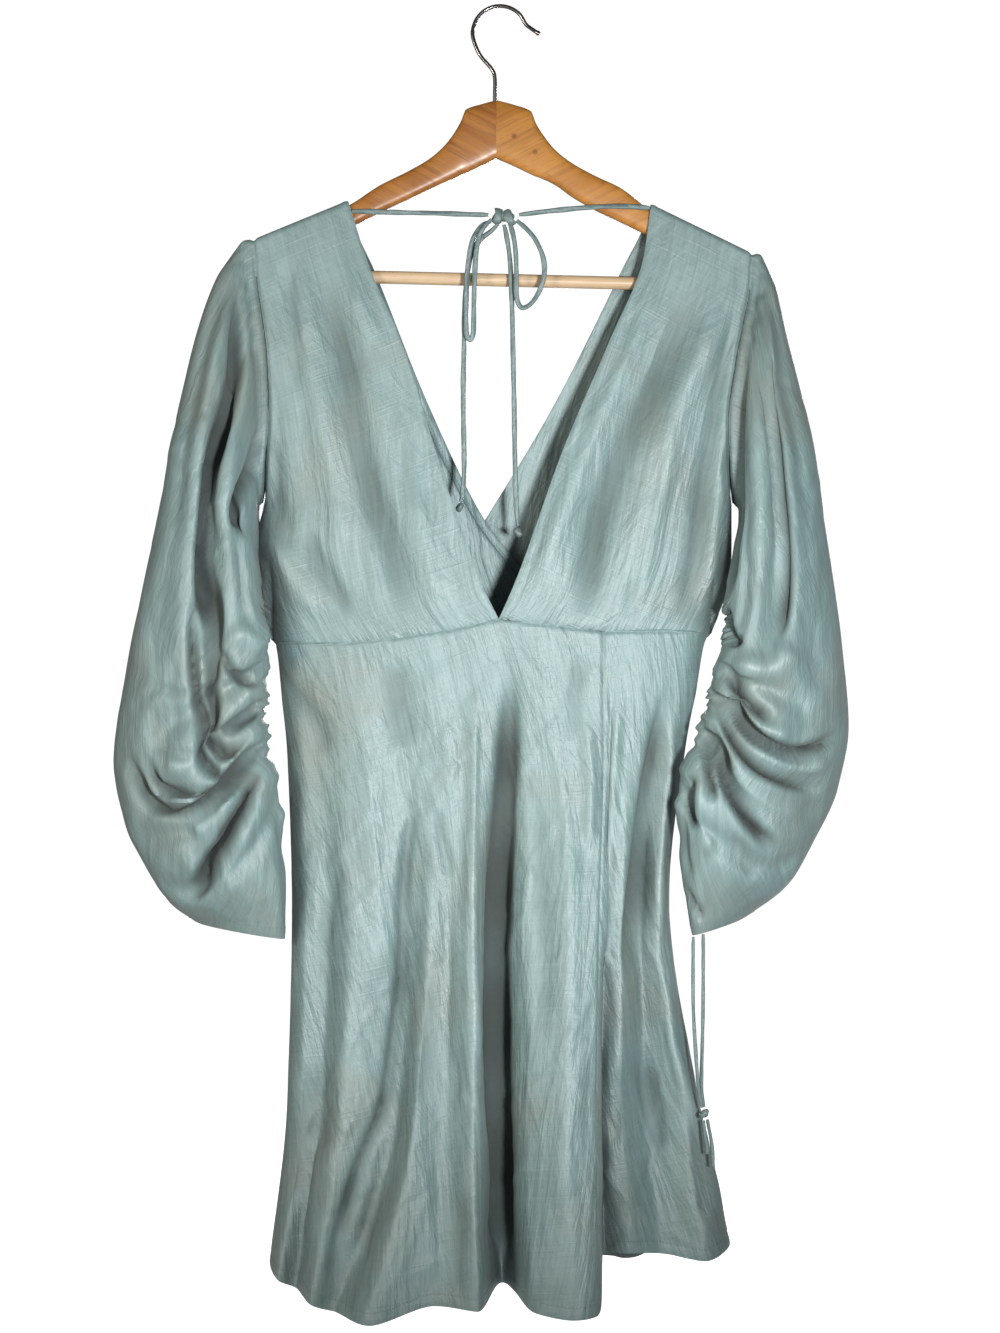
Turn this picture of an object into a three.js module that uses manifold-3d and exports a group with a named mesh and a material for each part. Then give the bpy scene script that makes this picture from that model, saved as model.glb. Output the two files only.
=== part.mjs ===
// A long-sleeved mini dress with a deep open back, hung on a wooden hanger.
// Millimetres, +Z up. The near side, towards -Y, is the back of the dress.
// The origin is the inner top of the hook, where a rail or a nail holds it.
import * as THREE from "three";
import { mergeVertices } from "three/addons/utils/BufferGeometryUtils.js";
import Module from "manifold-3d";

const wasm = await Module();
wasm.setup();

// Driving dimensions
const CLOTH = 1.5;
const SEAM = 0.36;
const WOOD_HALF = 6.5;
const SHOULDER_HALF = WOOD_HALF + CLOTH + 0.6;
const SHOULDER_DROP = 7;
const SHOULDER_POWER = 3.2;
const SIDE_POWER = 2.4;
const LAYER_STEP = CLOTH + 0.6;
const UNDERARM = 0.7;
const UNDERARM_Z = -422;
const WAIST_BLEND = 0.1;
const BODICE_BLEND = 0.8;
const ARMHOLE_BLEND = 0.13;
const HEAD_PUFF = 0.9;
const SLEEVE_DROOP = 26;
const SLEEVE_FORWARD = 6;
const SLEEVE_ROUND = 0.85;
const TIE_RADIUS = 2.1;
const STRING_RADIUS = 1.5;
const PROBE = 1e-4;

const CLOTH_COLOUR = 0x8fa8a5;
const WOOD_COLOUR = 0xb97f3f;
const BAR_COLOUR = 0xdcb07c;
const STEEL_COLOUR = 0xb9bbbd;

// Tables turned into smooth functions
const lerp = (a, b, t) => a + (b - a) * t;
const clamp = (t, lo = 0, hi = 1) => Math.min(hi, Math.max(lo, t));
const smooth = (lo, hi, t) => {
  const s = clamp((t - lo) / (hi - lo));
  return s * s * (3 - 2 * s);
};
const bell = (t) => Math.exp(-t * t);

function slopes(xs, ys) {
  const steps = xs.slice(1).map((x, i) => (ys[i + 1] - ys[i]) / (x - xs[i]));
  return xs.map((_, i) => {
    if (i === 0) return steps[0];
    if (i === xs.length - 1) return steps[i - 1];
    if (steps[i - 1] * steps[i] <= 0) return 0;
    return 2 / (1 / steps[i - 1] + 1 / steps[i]);
  });
}

// A curve through (xs, ys) that never swings past its points
function curve(xs, ys) {
  const m = slopes(xs, ys);
  return (x) => {
    let i = 0;
    while (i < xs.length - 2 && x > xs[i + 1]) i += 1;
    const h = xs[i + 1] - xs[i];
    const t = clamp((x - xs[i]) / h);
    const a = ys[i] * (1 + 2 * t) * (1 - t) ** 2 + ys[i + 1] * t * t * (3 - 2 * t);
    return a + h * (m[i] * t * (1 - t) ** 2 - m[i + 1] * t * t * (1 - t));
  };
}

// Straight runs through (xs, ys)
function polyline(xs, ys) {
  return (x) => {
    let i = 0;
    while (i < xs.length - 2 && x > xs[i + 1]) i += 1;
    return lerp(ys[i], ys[i + 1], clamp((x - xs[i]) / (xs[i + 1] - xs[i])));
  };
}

// A table with named columns becomes one curve for each column after the first
function table(columns, rows) {
  const at = rows.map((row) => row[0]);
  const out = {};
  columns.slice(1).forEach((name, k) => {
    out[name] = curve(at, rows.map((row) => row[k + 1]));
  });
  return out;
}

// Outer edge of each bodice half: armhole from the shoulder tip to the underarm
// at v = UNDERARM, then the side seam down to the waist
const OUTER_LEFT = table(["v", "x", "z"], [
  [0, -209, -197], [0.1, -206, -232], [0.2, -201, -264], [0.3, -197, -296],
  [0.45, -195, -345], [0.58, -198, -386], [0.7, -201, -422], [0.8, -209, -461],
  [0.9, -208, -502], [1, -192, -541],
]);
const OUTER_RIGHT = table(["v", "x", "z"], [
  [0, 214, -209], [0.1, 211, -242], [0.2, 205, -272], [0.3, 199, -302],
  [0.45, 193, -350], [0.58, 194, -389], [0.7, 197, -422], [0.8, 197, -461],
  [0.9, 192, -500], [1, 178, -535],
]);

// Neckline edge of each half, from the neck point to the waist seam
const BACK_NECK_LEFT = table(["v", "x", "z"], [
  [0, -129, -164], [0.15, -111, -220], [0.35, -81, -292], [0.6, -49, -395],
  [0.85, -20, -477], [1, -1, -519],
]);
const BACK_NECK_RIGHT = table(["v", "x", "z"], [
  [0, 128, -167], [0.15, 121, -215], [0.35, 92, -286], [0.6, 52, -380],
  [0.85, 19, -472], [1, -1, -519],
]);
const FRONT_NECK_LEFT = table(["v", "x", "z"], [
  [0, -128, -165], [0.03, -126, -177], [0.15, -106, -224], [0.4, -62, -334], [0.65, -13, -434],
  [0.8, 16, -472], [1, 70, -538],
]);
const FRONT_NECK_RIGHT = table(["v", "x", "z"], [
  [0, 126, -168], [0.03, 124, -179], [0.15, 104, -221], [0.4, 45, -338], [0.65, -13, -434],
  [0.8, -39, -476], [1, -78, -538],
]);

// Height of the waist seam on each side: it runs straight between the places
// where the bodice and the skirt both have a line
const WAIST_STOPS = [-192, -184, -166, -138, -92, -42, -1, 32, 60, 86, 114, 142, 164, 178];
const WAIST_BACK = polyline(WAIST_STOPS,
  [-541, -541, -541.5, -541, -537, -529, -520, -524, -527, -530, -530.5, -530, -531.5, -535]);
const WAIST_FRONT = polyline([-192, 178], [-541, -535]);
const WAIST_MIDDLE = WAIST_STOPS.indexOf(-1);

// Depth of the cloth on each side by height, and the body's virtual half width
const DEPTH = {
  back: curve([-541, -480, -400, -300, -220, -160], [42, 40, 33, 24, 15, 9]),
  front: curve([-541, -480, -400, -300, -220, -160], [34, 32, 27, 20, 13, 9]),
};
const EDGE_LEFT = curve([-541, -502, -461, -422, -386, -345, -296, -232, -197],
  [-192, -208, -209, -201, -206, -212, -216, -216, -214]);
const EDGE_RIGHT = curve([-535, -500, -461, -422, -389, -350, -302, -242, -209],
  [178, 192, 197, 197, 202, 210, 217, 221, 220]);

const SIDE_SIGN = { back: -1, front: 1 };

function sideShape(x, left, right) {
  const t = clamp(Math.abs((2 * x - left - right) / (right - left)));
  return (1 - t ** SIDE_POWER) ** (1 / SIDE_POWER);
}

function waistDepth(side, x) {
  return DEPTH[side](-541) * sideShape(x, OUTER_LEFT.x(1), OUTER_RIGHT.x(1));
}

// Distance of the bodice from the middle plane at a point of its outline
function bodiceDepth(side, x, z, drop) {
  const shoulder = SHOULDER_HALF * smooth(UNDERARM_Z, UNDERARM_Z + 60, z);
  const chest = DEPTH[side](z) - shoulder;
  const shape = sideShape(x, EDGE_LEFT(z), EDGE_RIGHT(z));
  const t = clamp(1 - drop / SHOULDER_DROP);
  const turn = (1 - t ** SHOULDER_POWER) ** (1 / SHOULDER_POWER);
  return (shoulder + chest * shape) * turn;
}

// Soft folds of the bodice: rows of place, run and depth
const BODICE_FOLDS = [
  { x: -118, z: -330, lean: 0.12, length: 110, width: 11, depth: 3.2 },
  { x: -92, z: -440, lean: 0.3, length: 80, width: 10, depth: -2.6 },
  { x: -160, z: -400, lean: -0.1, length: 90, width: 12, depth: 3 },
  { x: 112, z: -330, lean: -0.1, length: 110, width: 12, depth: 3 },
  { x: 150, z: -420, lean: 0.05, length: 100, width: 10, depth: -3 },
  { x: 78, z: -450, lean: -0.25, length: 80, width: 11, depth: 2.6 },
];

function bodiceFolds(x, z, fade) {
  return BODICE_FOLDS.reduce((sum, f) => {
    const across = (x - f.x - f.lean * (z - f.z)) / f.width;
    const along = (z - f.z) / f.length;
    return sum + f.depth * bell(across) * bell(along) * fade;
  }, 0);
}

// One half of the bodice: u from its outer edge to its neckline, v down
function bodiceSurface(side, outer, neck, inset = () => 0) {
  const waist = side === "back" ? WAIST_BACK : WAIST_FRONT;
  return (u, v) => {
    const f = 1 - Math.cos(u * Math.PI / 2);
    const x = lerp(outer.x(v), neck.x(v), f);
    const sag = waist(x) - lerp(outer.z(1), neck.z(1), f);
    const z = lerp(outer.z(v), neck.z(v), f) + sag * smooth(BODICE_BLEND, 1, v);
    const top = lerp(outer.z(0), neck.z(0), f);
    const fade = smooth(0, 0.2, u) * smooth(0.05, 0.15, v) * smooth(1, 0.85, v) * smooth(1.05, 0.8, u);
    const upper = bodiceDepth(side, x, z, (top - z)) + bodiceFolds(x, z, fade);
    const lower = waistDepth(side, x);
    const depth = lerp(upper, lower, smooth(BODICE_BLEND, 1, v)) - inset(x) * smooth(0, 0.1, v);
    return [x, SIDE_SIGN[side] * Math.max(depth, 0), z];
  };
}

// Skirt ribs: a row for each ridge and valley, going round from the left side
// seam over the near side to the right and back over the far side. x and y at
// the waist and four heights below it, and the height of the hem there
const LEVELS = [0, 0.18, 0.43, 0.74, 1];
const RIBS = [
  { name: "side_left", x: [-192, -181, -177, -181, -196], y: [0, 0, 0, 0], hem: -1066 },
  { name: "edge_ridge", x: [-184, -168, -163, -166, -185], y: [-20, -28, -34, -42], hem: -1073 },
  { name: "edge_valley", x: [-166, -150, -146, -152, -172], y: [-26, -30, -32, -34], hem: -1080 },
  { name: "left_flute", x: [-138, -126, -122, -132, -156], y: [-36, -50, -62, -70], hem: -1087 },
  { name: "crease_valley", x: [-92, -77, -78, -90, -139], y: [-39, -42, -46, -60], hem: -1094 },
  { name: "broad_ridge", x: [-62, -52, -58, -72, -106], y: [-42, -56, -78, -100], hem: -1097 },
  { name: "soft_valley", x: [-42, -36, -40, -46, -54], y: [-41, -50, -66, -82], hem: -1085 },
  { name: "centre_ridge", x: [-22, -17, -21, -23, -18], y: [-42, -60, -84, -98], hem: -1086 },
  { name: "centre_valley", x: [-1, 6, -2, -3, 2], y: [-38, -34, -34, -30], hem: -1077 },
  { name: "right_flute_near", x: [32, 29, 24, 24, 28], y: [-42, -56, -78, -98], hem: -1087 },
  { name: "right_flute", x: [60, 58, 56, 54, 60], y: [-42, -62, -92, -112], hem: -1090 },
  { name: "seam", x: [86, 87, 83, 80, 82], y: [-40, -58, -82, -98], hem: -1088 },
  { name: "seam_return", x: [98, 93, 88, 85, 87], y: [-36, -44, -46, -42], hem: -1050 },
  { name: "right_ridge", x: [114, 106, 102, 100, 108], y: [-36, -46, -52, -52], hem: -1048 },
  { name: "right_valley", x: [142, 136, 119, 123, 138], y: [-26, -22, -22, -34], hem: -1052 },
  { name: "right_edge_ridge", x: [164, 149, 132, 152, 172], y: [-18, -26, -34, -40], hem: -1057 },
  { name: "side_right", x: [178, 158, 144, 167, 196], y: [0, 0, 0, 0], hem: -1050 },
  { name: "far_right_ridge", x: [150, 134, 122, 140, 162], y: [26, 38, 48, 58], hem: -1062 },
  { name: "far_right_valley", x: [108, 98, 90, 98, 112], y: [27, 24, 24, 30], hem: -1066 },
  { name: "far_centre_right", x: [62, 56, 52, 54, 64], y: [32, 42, 58, 76], hem: -1074 },
  { name: "far_centre_valley", x: [14, 12, 10, 8, 8], y: [30, 26, 26, 30], hem: -1070 },
  { name: "far_centre_left", x: [-38, -34, -34, -38, -44], y: [32, 44, 62, 80], hem: -1076 },
  { name: "far_left_valley", x: [-86, -80, -78, -84, -96], y: [28, 26, 28, 34], hem: -1070 },
  { name: "far_left_ridge", x: [-142, -128, -122, -132, -152], y: [26, 36, 46, 58], hem: -1068 },
];
const RIB_COUNT = RIBS.length;
const ribNumber = (name) => RIBS.findIndex((rib) => rib.name === name);

function waistPoint(rib, index) {
  const side = index <= ribNumber("side_right") ? "back" : "front";
  const x = rib.x[0];
  return [SIDE_SIGN[side] * waistDepth(side, x), (side === "back" ? WAIST_BACK : WAIST_FRONT)(x)];
}

const RIB_CURVES = RIBS.map((rib, index) => {
  const [yWaist, zWaist] = waistPoint(rib, index);
  return {
    x: curve(LEVELS, rib.x),
    y: curve(LEVELS, [yWaist, ...rib.y]),
    z: curve([0, 1], [zWaist, rib.hem]),
  };
});

// The skirt's closed loop: s counts ribs round from the left side seam
function skirtSurface(s, v) {
  const first = Math.floor(s) - 2;
  const xs = [0, 1, 2, 3, 4, 5];
  const near = xs.map((k) => RIB_CURVES[(((first + k) % RIB_COUNT) + RIB_COUNT) % RIB_COUNT]);
  const at = (key) => curve(xs, near.map((c) => c[key](v)))(s - first);
  const x = at("x");
  const top = curve(xs, near.map((c) => c.x(0)))(s - first);
  const onBack = ((s % RIB_COUNT) + RIB_COUNT) % RIB_COUNT <= ribNumber("side_right");
  const side = onBack ? "back" : "front";
  const exact = smooth(WAIST_BLEND, 0, v);
  const y = lerp(at("y"), SIDE_SIGN[side] * waistDepth(side, top), exact);
  const waist = (side === "back" ? WAIST_BACK : WAIST_FRONT)(top);
  const z = lerp(at("z"), waist, exact);
  return [x, y, z];
}

// Sleeves: a row for each section, from the armhole at w = 0 to the cuff at
// w = 1. Outer and inner ends of the section, how far it stands out on each
// side, and how far the inner end hangs in front of the middle plane
const SLEEVE_COLUMNS = ["w", "outerX", "outerZ", "innerX", "innerZ", "near", "far", "forward"];
const SLEEVE_LEFT = table(SLEEVE_COLUMNS, [
  [0, -209, -197, -201, -422, 22, 20, 0],
  [0.05, -222, -203, -203, -440, 32, 26, 9],
  [0.12, -238, -225, -204, -462, 38, 30, 18],
  [0.22, -255, -270, -201, -486, 43, 34, 26],
  [0.34, -270, -332, -198, -512, 47, 37, 30],
  [0.46, -284, -407, -193, -538, 51, 40, 32],
  [0.58, -301, -490, -194, -566, 55, 43, 32],
  [0.7, -318, -573, -195, -600, 58, 45, 32],
  [0.78, -327, -640, -192, -632, 58, 45, 31],
  [0.85, -318, -690, -184, -665, 53, 42, 30],
  [0.91, -300, -728, -181, -700, 45, 36, 28],
  [0.96, -279, -760, -180, -742, 35, 28, 26],
  [1, -256, -777, -180, -788, 22, 19, 24],
]);
const SLEEVE_RIGHT = table(SLEEVE_COLUMNS, [
  [0, 214, -209, 197, -422, 22, 20, 0],
  [0.05, 224, -214, 200, -440, 32, 26, 10],
  [0.12, 233, -235, 194, -462, 38, 30, 20],
  [0.22, 243, -280, 190, -486, 43, 34, 29],
  [0.34, 256, -332, 187, -512, 47, 36, 34],
  [0.46, 268, -395, 185, -540, 51, 38, 38],
  [0.58, 279, -470, 177, -566, 55, 40, 41],
  [0.7, 290, -548, 171, -593, 58, 42, 43],
  [0.78, 295, -610, 160, -624, 58, 42, 44],
  [0.85, 286, -662, 148, -657, 53, 40, 44],
  [0.91, 268, -703, 147, -690, 45, 35, 42],
  [0.96, 245, -743, 152, -734, 35, 27, 38],
  [1, 208, -772, 160, -784, 22, 18, 34],
]);

// Long folds of a sleeve run down it; theta is 0 at the outer edge and pi at
// the ruched inner seam, on the near side below pi and on the far side above
const LONG_FOLDS = [
  { top: 0.55, bottom: 0.95, from: 0.02, to: 0.5, width: 0.2, depth: -4 },
  { top: 1.25, bottom: 1.7, from: 0.03, to: 0.62, width: 0.22, depth: -9 },
  { top: 0.95, bottom: 1.3, from: 0.05, to: 0.6, width: 0.2, depth: 5 },
  { top: 1.75, bottom: 2.3, from: 0.03, to: 0.5, width: 0.2, depth: -5 },
  { top: 5.5, bottom: 5.2, from: 0.03, to: 0.6, width: 0.24, depth: -5 },
  { top: 4.7, bottom: 4.3, from: 0.03, to: 0.55, width: 0.24, depth: -7 },
];
// Swags hang from the ruched seam and swing down towards the outer edge
const SWAGS = [
  { inner: 0.5, outer: 0.74, reach: 0.9, width: 0.022, depth: -6 },
  { inner: 0.62, outer: 0.83, reach: 0.6, width: 0.02, depth: -8 },
  { inner: 0.74, outer: 0.87, reach: 0.4, width: 0.02, depth: -7 },
  { inner: 0.86, outer: 0.93, reach: 0.5, width: 0.018, depth: -6 },
];
const RUCHES = 12;
const RUCHE_DEPTH = 3;
const HEAD_GATHERS = 12;
const HEAD_GATHER_DEPTH = 1.8;

function sleeveFolds(theta, w) {
  const long = LONG_FOLDS.reduce((sum, f) => {
    const middle = lerp(f.top, f.bottom, clamp((w - f.from) / (f.to - f.from)));
    const run = smooth(f.from, f.from + 0.08, w) * smooth(f.to + 0.1, f.to - 0.1, w);
    return sum + f.depth * run * bell((theta - middle) / f.width);
  }, 0);
  const fromSeam = Math.abs(theta - Math.PI);
  const swags = SWAGS.reduce((sum, f) => {
    const part = clamp(fromSeam / (Math.PI - f.reach));
    const middle = lerp(f.inner, f.outer, part ** 0.7);
    const run = smooth(0, 0.25, fromSeam) * smooth(1, 0.8, fromSeam / (Math.PI - f.reach));
    return sum + f.depth * run * bell((w - middle) / f.width);
  }, 0);
  const ruche = RUCHE_DEPTH * Math.cos(2 * Math.PI * RUCHES * w) * bell(fromSeam / 0.55);
  const head = Math.cos(theta * HEAD_GATHERS) * bell((w - 0.06) / 0.04);
  const onTop = Math.max(0, Math.cos(theta * 0.5)) ** 2;
  return long + swags + ruche * smooth(0.1, 0.25, w) + HEAD_GATHER_DEPTH * head * onTop;
}

// Points of an armhole, all round: theta 0 at the shoulder tip
function armholePoint(outer, theta) {
  const back = theta <= Math.PI;
  const v = UNDERARM * (back ? theta : 2 * Math.PI - theta) / Math.PI;
  const x = outer.x(v);
  const z = outer.z(v);
  const side = back ? "back" : "front";
  const y = SIDE_SIGN[side] * bodiceDepth(side, x, z, outer.z(0) - z);
  return [x, y, z];
}

function sleeveSurface(outer, rows) {
  return (theta, w) => {
    const around = ((theta % (2 * Math.PI)) + 2 * Math.PI) % (2 * Math.PI);
    const c = (1 + Math.cos(around)) / 2;
    const reach = around <= Math.PI ? -rows.near(w) : rows.far(w);
    const out = sleeveFolds(around, w);
    const lift = Math.abs(Math.sin(around)) ** SLEEVE_ROUND * (Math.abs(reach) + out);
    const dx = rows.outerX(w) - rows.innerX(w);
    const dz = rows.outerZ(w) - rows.innerZ(w);
    const long = Math.hypot(dx, dz);
    const push = out * Math.cos(around) / long;
    const droop = SLEEVE_DROOP * smooth(0.45, 0.8, w) * smooth(1, 0.9, w) * Math.sin(around) ** 2;
    const section = [
      rows.innerX(w) + dx * (c + push),
      Math.sign(reach) * lift - rows.forward(w) * (1 - c) - SLEEVE_FORWARD * smooth(0, 0.4, w),
      rows.innerZ(w) + dz * (c + push) - droop,
    ];
    const mix = smooth(0, ARMHOLE_BLEND, w);
    const ring = armholePoint(outer, around);
    const grow = smooth(0, 0.05, w) * (rows.outerX(w) - rows.outerX(0)) * HEAD_PUFF;
    const near = [ring[0] + grow * (1 - mix), ring[1], ring[2]];
    return section.map((value, k) => lerp(near[k], value, mix));
  };
}

// Closed walls from surfaces
const sub = (a, b) => a.map((value, k) => value - b[k]);
const add = (a, b, t = 1) => a.map((value, k) => value + b[k] * t);
const cross = (a, b) => [
  a[1] * b[2] - a[2] * b[1],
  a[2] * b[0] - a[0] * b[2],
  a[0] * b[1] - a[1] * b[0],
];
const unit = (a) => {
  const size = Math.hypot(...a) || 1;
  return a.map((value) => value / size);
};

function solid(points, faces) {
  let volume = 0;
  faces.forEach(([a, b, c]) => {
    const n = cross(points[b], points[c]);
    volume += points[a][0] * n[0] + points[a][1] * n[1] + points[a][2] * n[2];
  });
  const geometry = new THREE.BufferGeometry();
  geometry.setAttribute("position", new THREE.Float32BufferAttribute(points.flat(), 3));
  const order = volume < 0 ? faces.map(([a, b, c]) => [a, c, b]) : faces;
  geometry.setIndex(order.flat());
  geometry.computeVertexNormals();
  return geometry;
}

// Outward unit normal of a surface, checked against a rough outward direction
function normalAt(surface, u, v, limits, outward) {
  const u0 = Math.max(u - PROBE, limits.u[0]);
  const u1 = Math.min(u + PROBE, limits.u[1]);
  const v0 = Math.max(v - PROBE, limits.v[0]);
  const v1 = Math.min(v + PROBE, limits.v[1]);
  const n = unit(cross(sub(surface(u1, v), surface(u0, v)), sub(surface(u, v1), surface(u, v0))));
  const way = outward(surface(u, v));
  return n[0] * way[0] + n[1] * way[1] + n[2] * way[2] < 0 ? n.map((value) => -value) : n;
}

// A wall of cloth: the surface is its outer face, us and vs are its lines.
// flat says, for a grid place, which parts of the normal are dropped there
function wall({ surface, us, vs, limits, outward, flat = () => [], ring = false, pull }) {
  const cols = us.length;
  const rows = vs.length;
  const grid = us.map((u) => vs.map((v) => surface(u, v)));
  const normals = us.map((u, i) => vs.map((v, j) => {
    const n = normalAt(surface, u, v, limits, outward);
    flat(i, j).forEach((axis) => { n[axis] = 0; });
    return unit(n);
  }));
  const moved = grid.map((column, i) => column.map((point, j) => {
    let place = point;
    const seam = pull ?? { u0: !ring, u1: !ring, v0: true, v1: true };
    const towards = (other) => {
      place = add(place, unit(sub(other, point)), SEAM / 2);
    };
    if (seam.u0 && i === 0) towards(grid[1][j]);
    if (seam.u1 && i === cols - 1) towards(grid[cols - 2][j]);
    if (seam.v0 && j === 0) towards(column[1]);
    if (seam.v1 && j === rows - 1) towards(column[rows - 2]);
    return place;
  }));
  const points = [];
  moved.forEach((column) => column.forEach((point) => points.push(point)));
  moved.forEach((column, i) => column.forEach((point, j) => {
    points.push(add(point, normals[i][j], -CLOTH));
  }));
  const half = cols * rows;
  const id = (i, j, layer) => layer * half + (i % cols) * rows + j;
  const faces = [];
  const quad = (a, b, c, d) => faces.push([a, b, c], [a, c, d]);
  const spans = ring ? cols : cols - 1;
  for (let i = 0; i < spans; i += 1) {
    for (let j = 0; j < rows - 1; j += 1) {
      quad(id(i, j, 0), id(i + 1, j, 0), id(i + 1, j + 1, 0), id(i, j + 1, 0));
      quad(id(i, j, 1), id(i, j + 1, 1), id(i + 1, j + 1, 1), id(i + 1, j, 1));
    }
    quad(id(i, 0, 0), id(i, 0, 1), id(i + 1, 0, 1), id(i + 1, 0, 0));
    quad(id(i, rows - 1, 0), id(i + 1, rows - 1, 0), id(i + 1, rows - 1, 1), id(i, rows - 1, 1));
  }
  if (!ring) {
    for (let j = 0; j < rows - 1; j += 1) {
      quad(id(0, j, 0), id(0, j + 1, 0), id(0, j + 1, 1), id(0, j, 1));
      const last = cols - 1;
      quad(id(last, j, 0), id(last, j, 1), id(last, j + 1, 1), id(last, j + 1, 0));
    }
  }
  return solid(points, faces);
}

const spread = (lo, hi, count) => Array.from({ length: count + 1 }, (_, i) => lerp(lo, hi, i / count));

const group = new THREE.Group();

function put(name, geometry, color, roughness, metalness = 0) {
  const mesh = new THREE.Mesh(geometry, new THREE.MeshStandardMaterial({ color, roughness, metalness }));
  mesh.name = name;
  group.add(mesh);
}

const putCloth = (name, geometry) => put(name, geometry, CLOTH_COLOUR, 0.55);

// Bodice
const ARMHOLE_ROWS = [0, 0.006, 0.02, 0.05, 0.11, 0.19, 0.27, 0.35, 0.43, 0.51, 0.58, 0.64, UNDERARM];
const BODICE_ROWS = [...ARMHOLE_ROWS, 0.8, 0.9, 1];
const BODICE_COLUMNS = 7;
const X_AXIS = 0;
const Y_AXIS = 1;
const Z_AXIS = 2;

function bodiceEdgeRule(i, j) {
  const drop = [];
  const last = BODICE_ROWS.length - 1;
  const underarm = ARMHOLE_ROWS.length - 1;
  if (i === 0 && j < underarm) drop.push(X_AXIS);
  if ((i === 0 && j >= underarm) || j === 0) drop.push(Y_AXIS);
  if (j === last) drop.push(Z_AXIS);
  return drop;
}

// Columns that meet the waist seam at its stops
function columnsAtStops(outer, neck, stops) {
  const [from, to] = [outer.x(1), neck.x(1)];
  return stops.map((x) => Math.acos(clamp(1 - (x - from) / (to - from))) * 2 / Math.PI);
}

function bodicePanel(name, side, outer, neck, us, inset) {
  const surface = bodiceSurface(side, outer, neck, inset);
  const outward = (p) => [p[0] * 0.02, SIDE_SIGN[side], 0.2];
  const limits = { u: [0, 1], v: [0, 1] };
  const pull = { u0: true, u1: neck.x(1) === -1, v0: true, v1: true };
  putCloth(name, wall({ surface, us, vs: BODICE_ROWS, limits, outward, flat: bodiceEdgeRule, pull }));
}

const crossoverInset = (x) => LAYER_STEP * smooth(-135, -95, x);
const leftStops = WAIST_STOPS.slice(0, WAIST_MIDDLE + 1);
const rightStops = WAIST_STOPS.slice(WAIST_MIDDLE).reverse();
const backLeftColumns = columnsAtStops(OUTER_LEFT, BACK_NECK_LEFT, leftStops);
const backRightColumns = columnsAtStops(OUTER_RIGHT, BACK_NECK_RIGHT, rightStops);
const frontColumns = spread(0, 1, BODICE_COLUMNS);
bodicePanel("back_bodice_left", "back", OUTER_LEFT, BACK_NECK_LEFT, backLeftColumns);
bodicePanel("back_bodice_right", "back", OUTER_RIGHT, BACK_NECK_RIGHT, backRightColumns);
bodicePanel("front_bodice_left", "front", OUTER_LEFT, FRONT_NECK_LEFT, frontColumns, crossoverInset);
bodicePanel("front_bodice_right", "front", OUTER_RIGHT, FRONT_NECK_RIGHT, frontColumns);

// Skirt
const SKIRT_ROWS = [0, 0.03, 0.1, 0.2, 0.31, 0.43, 0.55, 0.67, 0.79, 0.9, 1];
const COLUMNS_PER_RIB = { back: 2, front: 3 };

function skirtPanel(name, fromRib, toRib) {
  const perRib = COLUMNS_PER_RIB[fromRib < ribNumber("side_right") ? "back" : "front"];
  const us = spread(fromRib, toRib, (toRib - fromRib) * perRib);
  const last = us.length - 1;
  const sides = [0, ribNumber("side_right"), RIB_COUNT];
  const flat = (i, j) => {
    const drop = [];
    if ((i === 0 || i === last) && sides.includes(us[i])) drop.push(Y_AXIS);
    if (j === 0) drop.push(Z_AXIS);
    return drop;
  };
  const middle = (fromRib + toRib) / 2 < ribNumber("side_right") ? -1 : 1;
  const outward = (p) => [p[0] * 0.004, middle, 0];
  const limits = { u: [-2, RIB_COUNT + 2], v: [0, 1] };
  const pull = { u0: true, u1: true, v0: true, v1: false };
  putCloth(name, wall({ surface: skirtSurface, us, vs: SKIRT_ROWS, limits, outward, flat, pull }));
}

skirtPanel("back_skirt_left", 0, ribNumber("seam"));
skirtPanel("back_skirt_right", ribNumber("seam"), ribNumber("side_right"));
skirtPanel("front_skirt", ribNumber("side_right"), RIB_COUNT);

// Sleeves
const SLEEVE_RING = 2 * (ARMHOLE_ROWS.length - 1);
const SLEEVE_ROWS = [0, 0.02, 0.045, 0.07, 0.1, 0.13, ...spread(0.16, 1, 24)];

function ringAngle(j, w) {
  const half = SLEEVE_RING / 2;
  const near = j <= half ? ARMHOLE_ROWS[j] : 2 * UNDERARM - ARMHOLE_ROWS[SLEEVE_RING - j];
  return lerp(Math.PI * near / UNDERARM, 2 * Math.PI * j / SLEEVE_RING, smooth(0, 0.16, w));
}

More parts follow.
